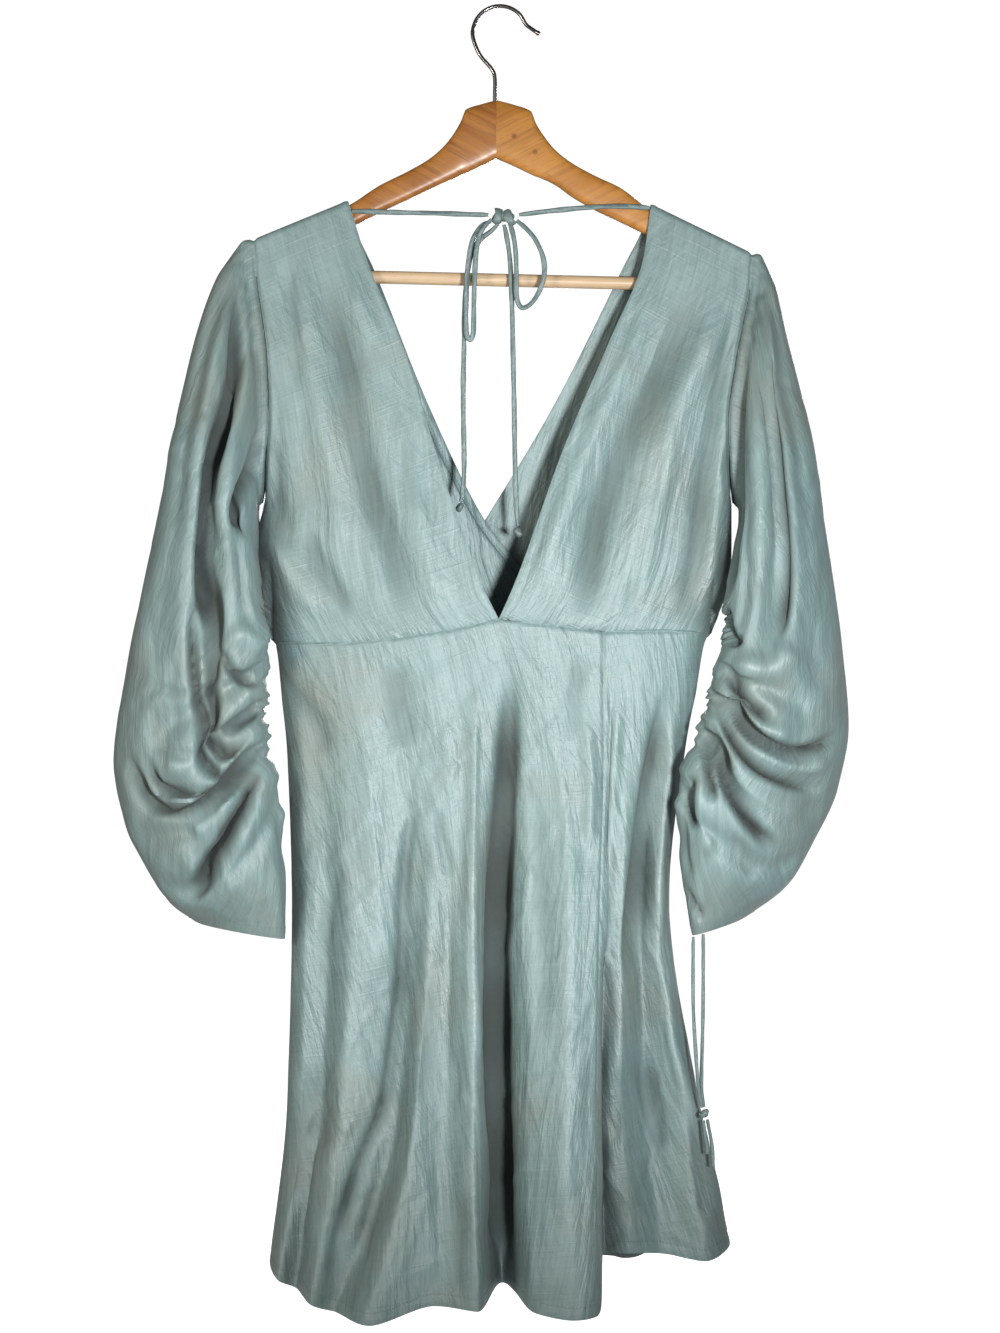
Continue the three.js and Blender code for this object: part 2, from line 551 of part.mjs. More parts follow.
function sleeve(name, outer, rows) {
  const place = sleeveSurface(outer, rows);
  const surface = (j, w) => place(ringAngle(j, w), w);
  const axis = (w) => [
    (rows.outerX(w) + rows.innerX(w)) / 2,
    -rows.forward(w) / 2,
    (rows.outerZ(w) + rows.innerZ(w)) / 2,
  ];
  const us = Array.from({ length: SLEEVE_RING }, (_, j) => j);
  const cols = us.length;
  const grid = us.map((u) => SLEEVE_ROWS.map((w) => surface(u, w)));
  const last = SLEEVE_ROWS.length - 1;
  const points = [];
  const inner = [];
  grid.forEach((column, i) => column.forEach((point, j) => {
    const before = grid[(i + cols - 1) % cols];
    const after = grid[(i + 1) % cols];
    const along = sub(column[Math.min(j + 1, last)], column[Math.max(j - 1, 0)]);
    let n = unit(cross(sub(after[j], before[j]), along));
    const way = sub(point, axis(SLEEVE_ROWS[j]));
    if (n[0] * way[0] + n[1] * way[1] + n[2] * way[2] < 0) n = n.map((value) => -value);
    if (j === 0) n = unit([0, n[1], n[2]]);
    const moved = j === 0 ? add(point, [Math.sign(rows.outerX(0)) * SEAM, 0, 0]) : point;
    points.push(moved);
    inner.push(add(moved, n, -CLOTH));
  }));
  const half = points.length;
  const rowCount = last + 1;
  const id = (i, j, layer) => layer * half + (i % cols) * rowCount + j;
  const faces = [];
  const quad = (a, b, c, d) => faces.push([a, b, c], [a, c, d]);
  for (let i = 0; i < cols; i += 1) {
    for (let j = 0; j < last; j += 1) {
      quad(id(i, j, 0), id(i + 1, j, 0), id(i + 1, j + 1, 0), id(i, j + 1, 0));
      quad(id(i, j, 1), id(i, j + 1, 1), id(i + 1, j + 1, 1), id(i + 1, j, 1));
    }
    quad(id(i, 0, 0), id(i, 0, 1), id(i + 1, 0, 1), id(i + 1, 0, 0));
    quad(id(i, last, 0), id(i + 1, last, 0), id(i + 1, last, 1), id(i, last, 1));
  }
  putCloth(name, solid([...points, ...inner], faces));
}

sleeve("sleeve_left", OUTER_LEFT, SLEEVE_LEFT);
sleeve("sleeve_right", OUTER_RIGHT, SLEEVE_RIGHT);

// Hanger
const toSolid = (geometry) => {
  const bare = geometry.clone();
  bare.deleteAttribute("normal");
  bare.deleteAttribute("uv");
  const merged = mergeVertices(bare, 1e-4);
  return new wasm.Manifold(new wasm.Mesh({
    numProp: 3,
    vertProperties: new Float32Array(merged.attributes.position.array),
    triVerts: new Uint32Array(merged.index.array),
  }));
};

const toGeometry = (manifold) => {
  const mesh = manifold.getMesh();
  const geometry = new THREE.BufferGeometry();
  geometry.setAttribute("position", new THREE.Float32BufferAttribute(mesh.vertProperties, 3));
  geometry.setIndex(new THREE.Uint32BufferAttribute(mesh.triVerts, 1));
  geometry.computeVertexNormals();
  return geometry;
};

// A wooden arm: upright rounded sections along x, given by top and bottom edge
const ARM_GAP = 0.15;
const ARM_MIDDLE = -3;
const ARM_LEFT = [
  { x: ARM_MIDDLE - ARM_GAP, top: -78.5, bottom: -128 },
  { x: -16, top: -82, bottom: -134.5 }, { x: -29, top: -86.5, bottom: -140.5 },
  { x: -33, top: -96, bottom: -142 }, { x: -38, top: -105, bottom: -144.5 },
  { x: -47, top: -117, bottom: -148.5 }, { x: -60, top: -128.5, bottom: -154.5 },
  { x: -77, top: -138.5, bottom: -162.5 }, { x: -102, top: -151, bottom: -174 },
  { x: -129, top: -168.2, bottom: -188 }, { x: -160, top: -180, bottom: -208 },
  { x: -178, top: -187, bottom: -237 }, { x: -196, top: -194.2, bottom: -242 },
  { x: -203, top: -197.5, bottom: -236 },
];
const ARM_RIGHT = [
  { x: ARM_MIDDLE + ARM_GAP, top: -78.5, bottom: -128 },
  { x: 12, top: -82.5, bottom: -134.5 }, { x: 26.5, top: -88, bottom: -141.5 },
  { x: 30, top: -97, bottom: -143 }, { x: 35.5, top: -106.5, bottom: -145 },
  { x: 47, top: -121, bottom: -150.5 }, { x: 61, top: -132, bottom: -160.5 },
  { x: 80, top: -142.5, bottom: -171.5 }, { x: 102, top: -153, bottom: -182 },
  { x: 128, top: -172.2, bottom: -195 }, { x: 162, top: -187.6, bottom: -214 },
  { x: 182, top: -196.2, bottom: -245 }, { x: 200, top: -205, bottom: -250 },
  { x: 208, top: -209.3, bottom: -244 },
];
const ARM_POWER = 2.7;
const ARM_SIDES = 12;
const BAR = { left: [-188, -226.8], right: [191, -235.9], radius: 5.5, sink: 9 };
const HOOK = { radius: 23.2, wire: 1.7, sink: 20, stemX: -4.4 };

function armGeometry(stations) {
  const points = [];
  stations.forEach((station) => {
    const middle = (station.top + station.bottom) / 2;
    const tall = (station.top - station.bottom) / 2;
    for (let k = 0; k < ARM_SIDES; k += 1) {
      const a = 2 * Math.PI * (k + 0.5) / ARM_SIDES;
      const round = (value) => Math.sign(value) * Math.abs(value) ** (2 / ARM_POWER);
      points.push([station.x, WOOD_HALF * round(Math.cos(a)), middle + tall * round(Math.sin(a))]);
    }
  });
  const faces = [];
  const id = (i, k) => i * ARM_SIDES + (k % ARM_SIDES);
  for (let i = 0; i < stations.length - 1; i += 1) {
    for (let k = 0; k < ARM_SIDES; k += 1) {
      faces.push([id(i, k), id(i, k + 1), id(i + 1, k + 1)], [id(i, k), id(i + 1, k + 1), id(i + 1, k)]);
    }
  }
  const last = stations.length - 1;
  for (let k = 1; k < ARM_SIDES - 1; k += 1) {
    faces.push([id(0, 0), id(0, k + 1), id(0, k)], [id(last, 0), id(last, k), id(last, k + 1)]);
  }
  return solid(points, faces);
}

function rod(from, to, radius, sides) {
  const a = new THREE.Vector3(...from);
  const b = new THREE.Vector3(...to);
  const geometry = new THREE.CylinderGeometry(radius, radius, a.distanceTo(b), sides);
  const turn = new THREE.Quaternion().setFromUnitVectors(
    new THREE.Vector3(0, 1, 0), b.clone().sub(a).normalize());
  geometry.applyQuaternion(turn);
  geometry.translate(...a.add(b).multiplyScalar(0.5).toArray());
  return geometry;
}

const barEnd = ([x, z]) => [x, 0, z];
const barHole = toSolid(rod(barEnd(BAR.left), barEnd(BAR.right), BAR.radius + 0.3, 20));
const stemHole = toSolid(rod([HOOK.stemX, 0, -60], [HOOK.stemX, 0, -101], HOOK.wire + 0.35, 12));
const arm = (stations) => toGeometry(toSolid(armGeometry(stations)).subtract(barHole).subtract(stemHole));
put("hanger_arm_left", arm(ARM_LEFT), WOOD_COLOUR, 0.45);
put("hanger_arm_right", arm(ARM_RIGHT), WOOD_COLOUR, 0.45);
const barLeft = barEnd([BAR.left[0] + 0.4, BAR.left[1]]);
const barRight = barEnd([BAR.right[0] - 0.4, BAR.right[1]]);
put("hanger_bar", rod(barLeft, barRight, BAR.radius, 16), BAR_COLOUR, 0.5);

// Hook and cords are tubes along routes
function tube(route, radius, sides, steps, tension = 0.5) {
  const path = new THREE.CatmullRomCurve3(route.map((p) => new THREE.Vector3(...p)), false,
    "catmullrom", tension);
  const section = new THREE.Shape(Array.from({ length: sides }, (_, k) => new THREE.Vector2(
    radius * Math.cos(2 * Math.PI * k / sides), radius * Math.sin(2 * Math.PI * k / sides))));
  return new THREE.ExtrudeGeometry(section, { extrudePath: path, steps, bevelEnabled: false });
}

const hookCentre = -HOOK.radius + HOOK.wire;
const hookTurn = (degrees) => {
  const a = degrees * Math.PI / 180;
  return [HOOK.radius * Math.cos(a), 0, hookCentre + HOOK.radius * Math.sin(a)];
};
const hookRoute = [
  [HOOK.stemX, 0, -99], [HOOK.stemX, 0, -76], [HOOK.stemX, 0, -60], [-7, 0, -52], [-17, 0, -40],
  ...[192, 170, 145, 120, 95, 70, 45, 20].map(hookTurn),
  [26.5, 0, -17.5], [34, 0, -22.5],
];
put("hanger_hook", tube(hookRoute, HOOK.wire, 8, 40), STEEL_COLOUR, 0.2, 1);

// Routes of the tie and drawstring, by hand
const TIE_LEFT = [
  [-125, -9.5, -174.2], [-120, -10.4, -174.6], [-113, -11.6, -175], [-104, -12.4, -175.3],
  [-92, -12.4, -175.6], [-80, -12.2, -175.9], [-68, -12, -176.1], [-56, -12, -176.3],
  [-44, -12.2, -176.7], [-33, -12.6, -177.2], [-24, -13.2, -177.6], [-16, -13.8, -177.9],
  [-9.6, -14.2, -178.1],
];
const TIE_RIGHT = [
  [16.2, -14.2, -178], [24, -13.8, -177], [34, -13.2, -175.6], [44, -12.8, -174.4],
  [54, -12.6, -173.4], [64, -12.6, -172.4], [74, -12.6, -171.6], [84, -12.6, -171],
  [94, -12.6, -170.6], [104, -12.4, -170.6], [114, -11.4, -170.8], [121, -10.2, -171.2],
  [126.6, -9.5, -171.6],
];
const LOOP_LEFT = [
  [-7.2, -17, -182.6], [-12.5, -18.5, -188], [-17.5, -19, -197], [-20.2, -19, -212],
  [-21.4, -19, -232], [-22, -19, -252], [-22.2, -19, -270], [-22.6, -19, -279],
  [-25, -19, -284], [-28, -19, -280], [-28.6, -18.6, -268], [-28.4, -18, -248],
  [-27.6, -17.6, -228], [-25.6, -17, -210], [-22, -16.4, -197], [-15, -15.8, -187.5],
  [-8.8, -13.8, -184],
];
const LOOP_RIGHT = [
  [14.2, -15.9, -183.3], [22, -17, -190], [29.5, -17.4, -199], [35.6, -17.6, -212],
  [37.6, -17.6, -224], [35.8, -17.6, -236], [31, -17.6, -247], [25, -17.8, -254.5],
  [18.5, -18, -257], [14.6, -18.4, -251], [13.6, -18.6, -240], [13.8, -18.6, -226],
  [13.2, -18.4, -210], [11.6, -18, -198], [9.5, -17.2, -189.5], [8.2, -16.4, -185.8],
];
const END_LEFT = [
  [-1.6, -12.9, -185.6], [-7, -12.2, -191], [-18, -11.4, -200], [-25, -11.6, -214],
  [-28.6, -12, -236], [-30, -12.6, -262], [-30.4, -13.4, -290], [-31, -14.4, -318],
  [-31, -15.4, -346], [-30.4, -16.4, -374], [-30.4, -17.4, -400], [-31.6, -18, -412],
  [-33, -18.4, -420.5],
];
const END_RIGHT = [
  [3.4, -13.4, -186.1], [5.4, -12.6, -195], [8, -12, -212], [9.4, -12.2, -232], [10.2, -12.6, -256],
  [10.8, -13.2, -284], [11.4, -14, -312], [12, -14.8, -342], [12.4, -15.6, -372],
  [13, -16.6, -402], [14, -17.6, -428], [15, -18, -441.5],
];
const cord = (name, route, radius, steps, sides = 8) => {
  putCloth(name, tube(route, radius, sides, steps, 0.5));
};
cord("neck_tie_left", TIE_LEFT, TIE_RADIUS, 13);
cord("neck_tie_right", TIE_RIGHT, TIE_RADIUS, 12);
cord("bow_loop_left", LOOP_LEFT, TIE_RADIUS, 24);
cord("bow_loop_right", LOOP_RIGHT, TIE_RADIUS, 22);
cord("bow_end_left", END_LEFT, TIE_RADIUS, 22);
cord("bow_end_right", END_RIGHT, TIE_RADIUS, 22);

// A knot is a round lump, longer along one way
function knot(name, centre, size, turn = 0) {
  const geometry = new THREE.SphereGeometry(1, 10, 6);
  geometry.scale(...size);
  geometry.rotateY(turn);
  geometry.translate(...centre);
  geometry.deleteAttribute("normal");
  geometry.deleteAttribute("uv");
  putCloth(name, mergeVertices(geometry, 1e-4));
}

knot("bow_knot", [3.4, -15, -179.6], [12.2, 3.6, 6]);
knot("bow_end_knot_left", [-33.8, -18.7, -424.9], [3.6, 3.4, 4]);
knot("bow_end_knot_right", [15.4, -18.3, -446.3], [3.8, 3.5, 4.4]);

const STRAND_INNER = [
  [160.9, -49.4, -784.7], [160.8, -49, -796], [160.8, -48.6, -810], [160.8, -48.2, -824],
  [160.9, -47.8, -839], [161.4, -47.4, -853], [162.2, -47, -867], [163.1, -46.6, -881],
  [164.1, -46.2, -895], [165.2, -46, -909], [166.6, -45.8, -919], [168.6, -45.4, -927.6],
];
const STRAND_OUTER = [
  [169, -50.9, -782.4], [169.2, -50, -796], [169.2, -48.8, -810], [169.3, -47.4, -824],
  [169.3, -46, -839], [169.2, -44.8, -853], [169, -43.8, -867], [168.7, -43, -881],
  [168.3, -42.4, -895], [168.2, -42, -909], [169, -42.2, -919], [170.6, -42.8, -927.4],
];
const TAIL_INNER = [
  [169.6, -44.6, -938], [170.2, -44.8, -943], [171, -45, -949], [171.9, -45, -955],
  [172.6, -44.8, -961], [173, -44.4, -966],
];
const TAIL_OUTER = [
  [173, -43.4, -937.6], [174, -43, -943], [175.2, -42.8, -949], [176.4, -42.8, -956],
  [177.3, -42.8, -963], [177.8, -42.8, -970], [178, -42.8, -977],
];
cord("cuff_string_inner", STRAND_INNER, STRING_RADIUS, 16);
cord("cuff_string_outer", STRAND_OUTER, STRING_RADIUS, 16);
knot("cuff_string_knot", [170.6, -44, -932.6], [4.4, 3.4, 4.6]);
cord("cuff_tail_inner", TAIL_INNER, STRING_RADIUS, 6);
cord("cuff_tail_outer", TAIL_OUTER, STRING_RADIUS, 6);

export default group;
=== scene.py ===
"""A long-sleeved mini dress with an open back on a wooden hanger, dressed for rendering.

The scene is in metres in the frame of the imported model: +Z is up, -Y points to the viewer
and the origin is the inner top of the hook. Sizes inside the classes are in millimetres.
"""
import logging
import math
from dataclasses import dataclass, field
from enum import Enum
from typing import ClassVar, Iterable, Sequence

import bpy
import numpy as np
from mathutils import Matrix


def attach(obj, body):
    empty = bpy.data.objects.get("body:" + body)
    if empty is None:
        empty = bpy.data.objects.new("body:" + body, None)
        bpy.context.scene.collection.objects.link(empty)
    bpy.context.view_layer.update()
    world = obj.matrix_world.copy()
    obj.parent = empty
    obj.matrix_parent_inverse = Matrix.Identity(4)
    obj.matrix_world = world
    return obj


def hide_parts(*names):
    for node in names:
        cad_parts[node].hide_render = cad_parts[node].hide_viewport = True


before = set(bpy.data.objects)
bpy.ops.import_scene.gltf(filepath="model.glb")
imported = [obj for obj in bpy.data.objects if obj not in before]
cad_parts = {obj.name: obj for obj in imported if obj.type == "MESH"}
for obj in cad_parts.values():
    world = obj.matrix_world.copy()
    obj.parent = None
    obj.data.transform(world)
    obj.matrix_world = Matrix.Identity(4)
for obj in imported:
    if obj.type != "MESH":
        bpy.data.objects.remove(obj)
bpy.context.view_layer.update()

Array = np.ndarray
Colour = tuple[float, float, float]
Route = Sequence[tuple[float, float, float]]

# A millimetre in metres, then the viewer's distance and height and half of what the picture spans
MM = 0.001
VIEW_DISTANCE = 2400.0
VIEW_HEIGHT = -559.7
HALF_FRAME = 566.5
# The least length that a vector is divided by
TINY = 1e-9

log = logging.getLogger("dress")


class Side(Enum):
    """The two sides of the flat-hung dress. The back faces the viewer."""

    BACK = -1
    FRONT = 1


# Curves through short tables
def mix(a: Array, b: Array, t: Array) -> Array:
    """Straight blend: a at t = 0, b at t = 1."""
    return a + (b - a) * t


def smooth(low: float, high: float, t: Array) -> Array:
    """Smooth step: 0 before low, 1 after high, s * s * (3 - 2 s) between."""
    s = np.clip((t - low) / (high - low), 0.0, 1.0)
    return s * s * (3.0 - 2.0 * s)


def bell(t: Array) -> Array:
    """Bell of height 1: exp(-t squared)."""
    return np.exp(-np.square(t))


def harmonic(a: Array, b: Array) -> Array:
    """Harmonic mean of two slopes, or 0 where their signs differ."""
    same = a * b > 0
    return np.where(same, 2.0 * a * b / np.where(same, a + b, 1.0), 0.0)


def hermite(start: Array, end: Array, slope0: Array, slope1: Array, t: Array) -> Array:
    """Cubic from start to end over t in 0 to 1 with the two slopes per unit of t.

    Args:
        start: Value at 0.
        end: Value at 1.
        slope0: Slope at 0.
        slope1: Slope at 1.
        t: Places from 0 to 1.

    Returns:
        The values at t.
    """
    back = 1.0 - t
    value = start * (1 + 2 * t) * back * back + end * t * t * (3 - 2 * t)
    return value + slope0 * t * back * back - slope1 * t * t * back


class Curve:
    """A cubic through a table of points that never swings past them."""

    def __init__(self, xs: Sequence[float], ys: Sequence[float]) -> None:
        """Keeps the points and a slope for each.

        Args:
            xs: Rising places.
            ys: The value at each place.
        """
        self.xs = np.asarray(xs, float)
        self.ys = np.asarray(ys, float)
        steps = np.diff(self.ys) / np.diff(self.xs)
        inner = harmonic(steps[:-1], steps[1:])
        self.slopes = np.concatenate([steps[:1], inner, steps[-1:]])

    def __call__(self, x: Array) -> Array:
        """The value at x, held at the ends.

        Args:
            x: Places.

        Returns:
            The cubic's values, between the points beside each place.
        """
        i = np.clip(np.searchsorted(self.xs, x, side="left") - 1, 0, len(self.xs) - 2)
        h = self.xs[i + 1] - self.xs[i]
        t = np.clip((x - self.xs[i]) / h, 0.0, 1.0)
        return hermite(self.ys[i], self.ys[i + 1], h * self.slopes[i], h * self.slopes[i + 1], t)


class Table:
    """Rows of numbers: each column after the first becomes a curve over the first."""

    def __init__(self, columns: str, rows: Sequence[Sequence[float]]) -> None:
        """Makes one curve for each named column.

        Args:
            columns: Names of the columns after the first, apart by spaces.
            rows: The rows, rising in their first number.
        """
        data = np.asarray(rows, float)
        for k, name in enumerate(columns.split()):
            setattr(self, name, Curve(data[:, 0], data[:, k + 1]))


def seen(points: Array) -> tuple[Array, Array]:
    """Where the viewer sees points on the middle plane: each goes along its line of sight.

    Args:
        points: Places, in millimetres, with x, y, z last.

    Returns:
        x and z on the plane y = 0.
    """
    grow = VIEW_DISTANCE / (VIEW_DISTANCE + points[..., 1])
    return points[..., 0] * grow, VIEW_HEIGHT + (points[..., 2] - VIEW_HEIGHT) * grow


def unit(vectors: Array) -> Array:
    """Vectors brought to length 1."""
    size = np.linalg.norm(vectors, axis=-1, keepdims=True)
    return vectors / np.maximum(size, TINY)


def catmull(route: Sequence, steps: int) -> Array:
    """A Catmull-Rom spline through a route's points, with a set number of steps between two.

    Args:
        route: Points.
        steps: Steps between two points.

    Returns:
        Points along the spline, the last of the route included.
    """
    points = np.asarray(route, float)
    ends = np.stack([2 * points[0] - points[1], *points, 2 * points[-1] - points[-2]])
    slopes = (ends[2:] - ends[:-2]) / 2
    t = np.linspace(0, 1, steps, endpoint=False)[None, :, None]
    start, end = points[:-1, None], points[1:, None]
    run = hermite(start, end, slopes[:-1, None], slopes[1:, None], t)
    return np.concatenate([run.reshape(-1, points.shape[1]), points[-1:]])


# How far a fold reaches in widths, how it fades in and out at most, and how it swells on its way
FOLD_REACH = 3.2
FADE_IN_SHARE = 0.3
FADE_IN_MOST = 110.0
FADE_OUT_MOST = 45.0
SWELL = 0.16
SWELL_STEP = 19.0


@dataclass(frozen=True)
class Fold:
    """A soft ridge, or a trough where depth is below 0, along a run as the viewer sees it.

    Its height is depth times a bell of the distance over width. Left of the run it is wider
    by lean, right of it narrower. It fades at both ends and swells a little on its way.
    """

    depth: float
    width: float
    lean: float
    points: Sequence[tuple[float, float]]
    fade: float = 0.22

    def relief(self, x: Array, z: Array) -> Array:
        """Height of the fold at places of the middle plane.

        Args:
            x: Places across.
            z: Places up.

        Returns:
            The height in millimetres, 0 away from the fold.
        """
        line = catmull(self.points, 4)
        margin = FOLD_REACH * self.width
        low, high = line.min(axis=0) - margin, line.max(axis=0) + margin
        near = (x > low[0]) & (x < high[0]) & (z > low[1]) & (z < high[1])
        total = np.zeros_like(x)
        place = np.stack([x[near], z[near]], -1)[:, None]
        run = np.diff(line, axis=0)
        size = np.linalg.norm(run, axis=1)
        share = np.clip(np.sum((place - line[:-1]) * run, -1) / size ** 2, 0, 1)
        gap = place - line[:-1] - share[..., None] * run
        apart = np.linalg.norm(gap, axis=-1)
        best = np.argmin(apart, axis=1)
        rows = np.arange(len(best))
        turn = run[best, 0] * gap[rows, best, 1] - run[best, 1] * gap[rows, best, 0]
        wide = self.width * (1 - self.lean * np.sign(turn))
        reach = (np.cumsum(size) - size)[best] + share[rows, best] * size[best]
        end = size.sum()
        ends = smooth(0, min(FADE_IN_SHARE * end, FADE_IN_MOST), reach)
        ends *= smooth(0, min(self.fade * end, FADE_OUT_MOST), end - reach)
        swell = 1 + SWELL * np.sin(reach / SWELL_STEP + self.points[0][0])
        total[near] = self.depth * swell * ends * bell(apart[rows, best] / wide)
        return total


def fold_rows(rows: Sequence[tuple[float, ...]]) -> tuple[Fold, ...]:
    """Folds from rows of depth, width, x and z of each point, and a lean last where there is one."""
    return tuple(Fold(row[0], row[1], row[-1] if len(row) % 2 else 0.0,
                      tuple(zip(row[2::2], row[3::2]))) for row in rows)


@dataclass(frozen=True)
class Crumple:
    """Many small creases of the cloth at seeded places within a box seen by the viewer."""

    seed: int
    count: int
    box: tuple[float, float, float, float]
    angle: float
    swing: float
    length: tuple[float, float] = (25.0, 80.0)
    width: tuple[float, float] = (2.2, 5.0)
    depth: tuple[float, float] = (0.25, 0.8)
    curl: float = 0.004

    def relief(self, x: Array, z: Array) -> Array:
        """Sum of short bells: each runs at its own angle, with its own length and width.

        Args:
            x: Places across.
            z: Places up.

        Returns:
            The height in millimetres.
        """
        dice = np.random.default_rng(self.seed)
        total = np.zeros_like(x)
        for _ in range(self.count):
            cx = dice.uniform(self.box[0], self.box[2])
            cz = dice.uniform(self.box[1], self.box[3])
            turn = math.radians(self.angle + self.swing * dice.normal())
            length = dice.uniform(*self.length)
            width = dice.uniform(*self.width)
            depth = dice.uniform(*self.depth) * dice.choice([-1.0, 1.0])
            bend = dice.uniform(-self.curl, self.curl)
            along = (x - cx) * math.cos(turn) + (z - cz) * math.sin(turn)
            across = -(x - cx) * math.sin(turn) + (z - cz) * math.cos(turn)
            total += depth * bell((across - bend * along * along) / width) * bell(along / length)
        return total


# Meshes from arrays
def make_mesh(name: str, points: Array, quads: Array, uvs: Array | None = None,
              sharp: float = 60.0, troughs: Array | None = None) -> bpy.types.Object:
    """An object at the origin from points in millimetres.

    Args:
        name: The piece's name.
        points: Corners, one row each.
        quads: Corner numbers of each face, four to a row, or three and a repeat of the third.
        uvs: A place on the cloth in metres for each corner.
        sharp: Edges bent by more degrees than this are shaded sharp.
        troughs: How deep each corner lies in a fold, 1 in a trough and -1 on a ridge.

    Returns:
        The object, linked to the scene.
    """
    mesh = bpy.data.meshes.new(name)
    real = np.where(quads[:, 2] == quads[:, 3], 3, 4)
    flat = quads[np.arange(4)[None, :] < real[:, None]]
    starts = np.concatenate([[0], np.cumsum(real)[:-1]])
    mesh.vertices.add(len(points))
    mesh.vertices.foreach_set("co", (points * MM).astype(np.float32).ravel())
    mesh.loops.add(len(flat))
    mesh.loops.foreach_set("vertex_index", flat.astype(np.int32))
    mesh.polygons.add(len(quads))
    mesh.polygons.foreach_set("loop_start", starts.astype(np.int32))
    mesh.polygons.foreach_set("use_smooth", np.ones(len(quads), bool))
    mesh.update(calc_edges=True)
    if uvs is not None:
        layer = mesh.uv_layers.new(name="cloth")
        layer.data.foreach_set("uv", uvs[flat].astype(np.float32).ravel())
    if troughs is not None:
        layer = mesh.attributes.new("trough", "FLOAT", "POINT")
        layer.data.foreach_set("value", troughs.astype(np.float32))
    mesh.set_sharp_from_angle(angle=math.radians(sharp))
    mesh.validate()
    piece = bpy.data.objects.new(name, mesh)
    bpy.context.scene.collection.objects.link(piece)
    return piece


def grid_quads(nu: int, nv: int, ring: bool) -> Array:
    """Faces of a grid of nu by nv points, closed on itself in u where ring is set.

    Args:
        nu: Points in u.
        nv: Points in v.
        ring: Whether u is closed.

    Returns:
        Corner numbers, four to a row.
    """
    spans = nu if ring else nu - 1
    i, j = np.meshgrid(np.arange(spans), np.arange(nv - 1), indexing="ij")
    k = (i + 1) % nu
    return np.stack([i * nv + j, k * nv + j, k * nv + j + 1, i * nv + j + 1], -1).reshape(-1, 4)


def rim_quads(outer: Array, inner: Array) -> Array:
    """Faces that join two lines of corner numbers."""
    return np.stack([outer[1:], outer[:-1], inner[:-1], inner[1:]], -1)


def shell_quads(nu: int, nv: int, ring: bool) -> Array:
    """Faces of a closed wall: an outer grid, the inner grid turned over, and the rims.

    Args:
        nu: Points in u.
        nv: Points in v.
        ring: Whether u is closed.

    Returns:
        Corner numbers, four to a row. The inner grid's come after the outer grid's.
    """
    number = np.arange(nu * nv).reshape(nu, nv)
    half = nu * nv
    outer = grid_quads(nu, nv, ring)
    parts = [outer, outer[:, ::-1] + half]
    column = np.concatenate([number, number[:1]]) if ring else number
    parts.append(rim_quads(column[:, 0], column[:, 0] + half))
    parts.append(rim_quads(column[::-1, -1], column[::-1, -1] + half))
    if not ring:
        parts.append(rim_quads(number[0, ::-1], number[0, ::-1] + half))
        parts.append(rim_quads(number[-1], number[-1] + half))
    return np.concatenate(parts)


def grid_normals(points: Array, ring: bool) -> Array:
    """Unit normals of a grid: the cross product of its steps along u and along v."""
    if ring:
        du = np.roll(points, -1, axis=0) - np.roll(points, 1, axis=0)
    else:
        du = np.gradient(points, axis=0)
    return unit(np.cross(du, np.gradient(points, axis=1)))


def run_length(points: Array, axis: int) -> Array:
    """Distance along the cloth from the first line of a grid, along one of its axes.

    Args:
        points: A line or a grid of points.
        axis: The axis to go along.

    Returns:
        The distance at each point, 0 on the first.
    """
    steps = np.linalg.norm(np.diff(points, axis=axis), axis=-1)
    zero = np.zeros_like(np.take(steps, [0], axis=axis))
    return np.cumsum(np.concatenate([zero, steps], axis=axis), axis=axis)


# Outlines and depths of the dress, the same as in the part's solids
SHOULDER_HALF = 8.6
SHOULDER_DROP = 7.0
SHOULDER_RISE = 60.0
SHOULDER_POWER = 3.2
SIDE_POWER = 2.4
LAYER_STEP = 2.1
UNDERARM = 0.7
UNDERARM_Z = -422.0
# The waist's two ends, across and up
WAIST_X = (-192.0, 178.0)
WAIST_Z = (-541.0, -535.0)

OUTER_LEFT = Table("x z", [
    (0, -209, -197), (0.1, -206, -232), (0.2, -201, -264), (0.3, -197, -296),
    (0.45, -195, -345), (0.58, -198, -386), (0.7, -201, -422), (0.8, -209, -461),
    (0.9, -208, -502), (1, -192, -541),
])
OUTER_RIGHT = Table("x z", [
    (0, 214, -209), (0.1, 211, -242), (0.2, 205, -272), (0.3, 199, -302),
    (0.45, 193, -350), (0.58, 194, -389), (0.7, 197, -422), (0.8, 197, -461),
    (0.9, 192, -500), (1, 178, -535),
])
BACK_NECK_LEFT = Table("x z", [
    (0, -129, -164), (0.15, -111, -220), (0.35, -81, -292), (0.6, -49, -395),
    (0.85, -20, -477), (1, -1, -519),
])
BACK_NECK_RIGHT = Table("x z", [
    (0, 128, -167), (0.15, 121, -215), (0.35, 92, -286), (0.6, 52, -380),
    (0.85, 19, -472), (1, -1, -519),
])
FRONT_NECK_LEFT = Table("x z", [
    (0, -128, -165), (0.03, -126, -177), (0.15, -106, -224), (0.4, -62, -334),
    (0.65, -13, -434), (0.8, 16, -472), (1, 70, -538),
])
FRONT_NECK_RIGHT = Table("x z", [
    (0, 126, -168), (0.03, 124, -179), (0.15, 104, -221), (0.4, 45, -338),
    (0.65, -13, -434), (0.8, -39, -476), (1, -78, -538),
])
WAIST_STOPS = (-192, -184, -166, -138, -92, -42, -1, 32, 60, 86, 114, 142, 164, 178)
WAIST_BACK = (-541, -541, -541.5, -541, -537, -529, -520, -524, -527, -530, -530.5, -530,
              -531.5, -535)
DEPTH_STOPS = (-541, -480, -400, -300, -220, -160)
